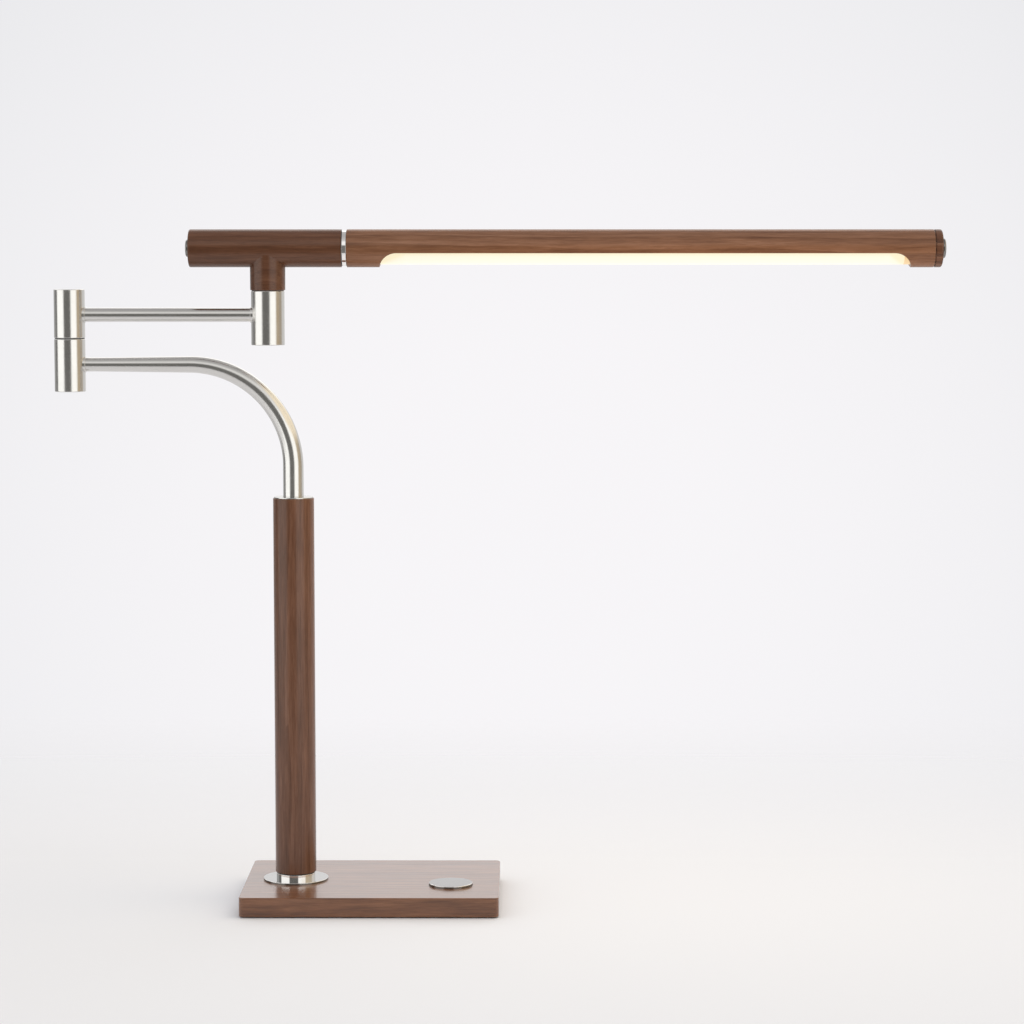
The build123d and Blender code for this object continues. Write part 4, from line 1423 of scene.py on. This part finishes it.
@dataclass
class EndButtons:
    """Steel buttons that close the free ends of the tee and the light bar."""

    spigot_radius: float = 3.0
    spigot_length: float = 9.0
    edge: float = 1.2
    edge_segments: int = 6

    def build(self) -> None:
        """Make both buttons."""
        for node, name, way in (
            ("tee_button", "tee_end_button", Lying.LEFT),
            ("bar_button", "bar_end_button", Lying.RIGHT),
        ):
            self.button(node, way).place(name, DARK_STEEL, node)

    def button(self, node: str, way: Lying) -> Shape:
        """Button with a rounded rim on its spigot.

        Args:
            node: solid of the button.
            way: way that its face points.

        Returns:
            The button.
        """
        solid = Solid(node)
        height = solid.high.x - solid.low.x - self.spigot_length
        face = solid.high.x if way is Lying.RIGHT else solid.low.x
        seat = face - height if way is Lying.RIGHT else face + height
        start = -self.spigot_length
        outline = stepped(start, (self.spigot_radius, 0.0), (solid.radius, height), (0.0, start))
        turned = Shape.turned(outline, way, Vector((seat, 0.0, solid.middle.z)))
        return turned.soften(self.edge, lies_at(Axis.X, face), self.edge_segments)


@dataclass
class LightBar:
    """Wooden light bar with its window, the bright ring before it and the end cap after it."""

    bore: float = 12.7
    edge: float = 0.5
    window_low_x: float = 6.5
    window_high_x: float = 419.5
    window_drop: float = 3.9
    window_radius: float = 14.0
    window_segments: int = 24
    ring_hole: float = 4.05
    ring_edge: float = 0.5
    ring_groove: PinGroove = PinGroove(circle=7.5, limit=90.0)
    cap_edge: float = 1.6
    cap_segments: int = 6
    cap_groove: float = 0.9
    cap_thickness: float = 6.3
    spigot_radius: float = 12.65
    button_hole: float = 3.05
    button_hole_depth: float = 9.0

    def build(self) -> None:
        """Make the ring, the bar and its end cap."""
        self.ring().place("bright_ring", CHROME, "swivel_ring")
        self.bar().place("wood_bar", BAR_WALNUT, "light_bar")
        self.end_cap().place("wood_end_cap", CAP_WALNUT, "bar_end_cap")

    def axis(self, x: float = 0.0) -> Vector:
        """Point on the light bar's axis."""
        return Vector((x, 0.0, Solid("swivel_ring").middle.z))

    def ring(self) -> Shape:
        """Bright ring with the stop pin's groove in its back.

        Returns:
            The ring.
        """
        solid = Solid("swivel_ring")
        outline = stepped(solid.low.x, (solid.radius, solid.high.x), (self.ring_hole, solid.low.x))
        ring = Shape.turned(outline, Lying.RIGHT, self.axis()).soften(self.ring_edge, solid.rim(Axis.X))
        return ring.cut(self.ring_groove.cutter(Lying.LEFT_FROM_BACK, self.axis(solid.low.x)))

    def bar(self) -> Shape:
        """Bored bar with the round-ended window cut from its underside.

        Returns:
            The bar.
        """
        solid = Solid("light_bar")
        outline = stepped(solid.low.x, (solid.radius, solid.high.x), (self.bore, solid.low.x))
        bar = Shape.turned(outline, Lying.RIGHT, self.axis(), BAR_SIDES)
        bar.soften(self.edge, solid.rim(Axis.X))
        level = self.axis().z - self.window_drop
        wide = 2 * solid.radius
        window = Shape.block(
            Vector((self.window_low_x, -wide, level - wide)), Vector((self.window_high_x, wide, level))
        )
        at_top = lies_at(Axis.Z, level)
        window.soften(
            self.window_radius, lambda edge: at_top(edge) and runs_back(edge), self.window_segments
        )
        return bar.cut(window)

    def end_cap(self) -> Shape:
        """Cap with a rounded end, on a spigot in the bar.

        Returns:
            The cap.
        """
        solid = Solid("bar_end_cap")
        end = solid.high.x
        seam = end - self.cap_thickness
        outline = stepped(
            solid.low.x,
            (self.spigot_radius, seam),
            (solid.radius - self.cap_groove, seam + self.cap_groove),
            (solid.radius, end),
            (self.button_hole, end - self.button_hole_depth),
            (0.0, solid.low.x),
        )
        cap = Shape.turned(outline, Lying.RIGHT, self.axis(), BAR_SIDES)
        outside, at_end = solid.rim(Axis.X), lies_at(Axis.X, end)
        return cap.soften(self.cap_edge, lambda edge: outside(edge) and at_end(edge), self.cap_segments)


@dataclass
class InnerWorks:
    """Solids that are shown as they are, each dressed by its slot."""

    light_top: float = 3.9  # below the light bar's axis
    light_bottom: float = 12.5
    light_ends: Stretch = (0.0, 413.0)
    stop_ends: Stretch = (360.0, 440.0)  # clear of the stop, whose glow is even along the bar
    stop_glows: tuple[Colour, Colour, Colour] = ((0.52, 0.30, 0.12), (0.90, 0.58, 0.25), (0.97, 0.68, 0.34))
    stop_strength: float = 0.76

    def finishes(self) -> dict[str, Finish]:
        """Choose the finish of each of the record's slots.

        Returns:
            Each slot's finish.
        """
        axis = Solid("light_bar").middle.z
        levels = (axis - self.light_top, axis - self.light_bottom)
        diffuser = OpalLight("opal_diffuser", *levels, *self.light_ends)
        stop = OpalLight("stop_plastic", *levels, *self.stop_ends, self.stop_glows, self.stop_strength)
        chosen = (TEE_WALNUT, STEEL, RUBBER, diffuser, stop, *INNER_FINISHES)
        return {finish.slot: finish for finish in chosen}

    def build(self) -> None:
        """Give every solid the material of its slot."""
        finishes = self.finishes()
        for part in frame["record"]["subparts"]:
            for seat in frame["nodes"][part["node"]].material_slots:
                seat.material = material_of(finishes[part["material_slot"]])
            log.info("%s: dressed in %s", part["node"], part["material_slot"])


@dataclass
class Studio:
    """Pale floor, backdrop, soft light and camera."""

    lens: float = 100.0
    camera_place: Point = (0.1177, -2.2170, 0.5010)
    camera_tilt: float = 85.0
    camera_turn: float = 0.203
    paper: FadingPaper = FadingPaper()
    floor_radius: float = 3.0
    backdrop_way: Point = (0.0, 0.996, -0.087)
    backdrop_reach: Stretch = (0.966, 0.998)
    backdrop_middle: Colour = (0.93, 0.915, 0.935)
    backdrop_edge: Colour = (0.82, 0.82, 0.84)
    wall_panels: tuple[tuple[float, float, Colour], ...] = (  # degrees to the right of the front
        (-180, -168, (0.98, 0.975, 0.98)),
        (-160, -122, (0.43, 0.43, 0.425)),
        (-114, -98, (0.19, 0.187, 0.183)),
        (-90, -39, (1.45, 1.45, 1.42)),
        (-33, 14, (0.175, 0.171, 0.162)),
        (20, 59, (1.45, 1.44, 1.39)),
        (65, 84, (0.56, 0.45, 0.305)),
        (92, 109, (0.48, 0.41, 0.32)),
        (118, 160, (0.78, 0.77, 0.76)),
        (168, 180, (0.98, 0.975, 0.98)),
    )
    roof_panels: tuple[tuple[float, Colour], ...] = (  # by the upward share of the direction
        (0.0, (0.95, 0.94, 0.92)),
        (0.64, (0.95, 0.94, 0.92)),
        (0.76, (0.62, 0.61, 0.60)),
        (1.0, (0.45, 0.44, 0.44)),
    )
    roof_start: Stretch = (0.22, 0.42)  # like those below, where a panel fades in
    back_start: Stretch = (0.4, 0.7)
    back_low: Stretch = (0.26, 0.4)
    back_high: Stretch = (0.78, 0.66)
    back_light: Colour = (1.6, 1.58, 1.55)
    warm_start: Stretch = (0.48, 0.7)
    warm_low: Stretch = (0.15, 0.35)
    warm_light: Colour = (1.25, 1.08, 0.82)
    soft_box_place: Point = (0.35, 0.2, 2.2)
    soft_box_target: Point = (0.1, 0.0, 0.3)
    soft_box_size: Stretch = (2.0, 2.0)
    soft_box_power: float = 16.0
    glow_depth: float = 0.16
    glow_power: float = 0.35
    glow_tint: Colour = (1.0, 0.82, 0.60)
    bounce_place: Point = (0.27, -0.16, 0.38)
    bounce_size: Stretch = (0.42, 0.06)
    bounce_power: float = 0.34
    bounce_tint: Colour = (1.0, 0.80, 0.56)

    def build(self) -> None:
        """Set up the whole studio."""
        scene = bpy.context.scene
        scene.view_settings.view_transform = "Standard"
        self.make_camera(scene)
        self.make_world(scene)
        self.make_floor()
        self.make_lamps(scene)

    def make_camera(self, scene: Scene) -> None:
        """Set the camera at the photograph's viewing angle.

        Args:
            scene: scene to set it in.
        """
        camera = bpy.data.objects.new("camera", bpy.data.cameras.new("camera"))
        camera.data.lens = self.lens
        camera.location = self.camera_place
        camera.rotation_euler = (math.radians(self.camera_tilt), 0.0, math.radians(self.camera_turn))
        scene.collection.objects.link(camera)
        scene.camera = camera

    def make_lamps(self, scene: Scene) -> None:
        """Hang a soft box overhead, and let the light bar shine on the table and the table shine back.

        Args:
            scene: scene to hang them in.
        """
        box = self.make_lamp(scene, "soft_box", self.soft_box_size, self.soft_box_power)
        box.location = self.soft_box_place
        self.aim(box, Vector(self.soft_box_target))
        low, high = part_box("diffuser")
        size = (high.x - low.x, self.glow_depth)
        glow = self.make_lamp(scene, "bar_glow", size, self.glow_power, self.glow_tint)
        glow.location = ((low.x + high.x) / 2, 0.0, low.z - MM)
        bounce = self.make_lamp(scene, "table_bounce", self.bounce_size, self.bounce_power, self.bounce_tint)
        bounce.location = self.bounce_place
        self.aim(bounce, Vector((self.bounce_place[0], 0.0, Solid("light_bar").middle.z * MM)))
        for lamp in (glow, bounce):
            lamp.visible_camera = False
            lamp.parent = frame["bodies"]["bar"]

    def make_lamp(
        self, scene: Scene, name: str, size: Stretch, power: float, tint: Colour = (1.0, 1.0, 1.0)
    ) -> Piece:
        """Lamp with an oblong face that no shiny surface mirrors.

        Args:
            scene: scene to hang it in.
            name: name of the lamp.
            size: its length from left to right and its depth from front to back.
            power: its power in watts.
            tint: colour of its light.

        Returns:
            The lamp, which shines down.
        """
        face = bpy.data.lights.new(name, "AREA")
        face.shape = "RECTANGLE"
        face.size, face.size_y = size
        face.energy = power
        face.color = tint
        lamp = bpy.data.objects.new(name, face)
        lamp.visible_glossy = False
        scene.collection.objects.link(lamp)
        return lamp

    def aim(self, lamp: Piece, target: Vector) -> None:
        """Turn a lamp so that it shines at a point."""
        lamp.rotation_mode = "QUATERNION"
        lamp.rotation_quaternion = (target - lamp.location).to_track_quat("-Z", "Y")

    def make_world(self, scene: Scene) -> None:
        """Light the lamp evenly, with soft boxes and dark gaps for the steel to mirror.

        Args:
            scene: scene to light.
        """
        scene.world = bpy.data.worlds.new("studio")
        scene.world.use_nodes = True
        wiring = Wiring(scene.world.node_tree)
        way = wiring.add("ShaderNodeTexCoord").outputs["Generated"]
        parts = wiring.parts(way)
        turn = wiring.maths("ARCTAN2", parts["X"], wiring.maths("MULTIPLY", parts["Y"], -1.0))
        stops = [
            (math.radians(angle) / math.tau + 0.5, colour)
            for *edges, colour in self.wall_panels
            for angle in edges
        ]
        walls = wiring.ramp(wiring.spread(turn, -math.pi, math.pi), stops)
        roof = wiring.ramp(parts["Z"], self.roof_panels)
        room = wiring.blend(wiring.eased(parts["Z"], *self.roof_start), walls, roof)
        back = self.panel(
            wiring, (parts["Y"], self.back_start), (parts["Z"], self.back_low), (parts["Z"], self.back_high)
        )
        room = wiring.blend(back, room, self.back_light)
        warm = self.panel(wiring, (parts["X"], self.warm_start), (parts["Z"], self.warm_low))
        room = wiring.blend(warm, room, self.warm_light)
        ahead = wiring.vector("DOT_PRODUCT", way, self.backdrop_way, output="Value")
        ahead = wiring.spread(ahead, *self.backdrop_reach)
        backdrop = wiring.blend(ahead, self.backdrop_edge, self.backdrop_middle)
        lit, seen = (wiring.add("ShaderNodeBackground", {"Color": colour}) for colour in (room, backdrop))
        is_seen = wiring.add("ShaderNodeLightPath").outputs["Is Camera Ray"]
        wiring.add("ShaderNodeOutputWorld", {"Surface": wiring.between(is_seen, lit, seen)})

    def panel(self, wiring: Wiring, *edges: tuple[Socket, Stretch]) -> Socket:
        """Share of a soft-edged panel, where each part of the direction lies past its edge."""
        shares = (wiring.eased(part, *edge) for part, edge in edges)
        return reduce(lambda share, other: wiring.maths("MULTIPLY", share, other), shares)

    def make_floor(self) -> None:
        """Lay a round floor of pale paper."""
        shape = Shape()
        bmesh.ops.create_circle(shape.mesh, cap_ends=True, radius=self.floor_radius, segments=FINE_SIDES)
        bmesh.ops.translate(shape.mesh, vec=self.paper.centre, verts=shape.mesh.verts)
        floor = shape.as_object(self.paper.label)
        floor.data.materials.append(material_of(self.paper))


def main() -> None:
    """Build and dress the lamp, and light it."""
    logging.basicConfig(level=logging.INFO, format="%(message)s")
    barrels = Barrels()
    for assembly in (
        InnerWorks(),
        WeightedBase(),
        WoodenPost(),
        CurvedArm(barrels),
        FoldArm(barrels),
        WoodenTee(),
        EndButtons(),
        LightBar(),
        Studio(),
    ):
        assembly.build()


if __name__ == "__main__":
    main()
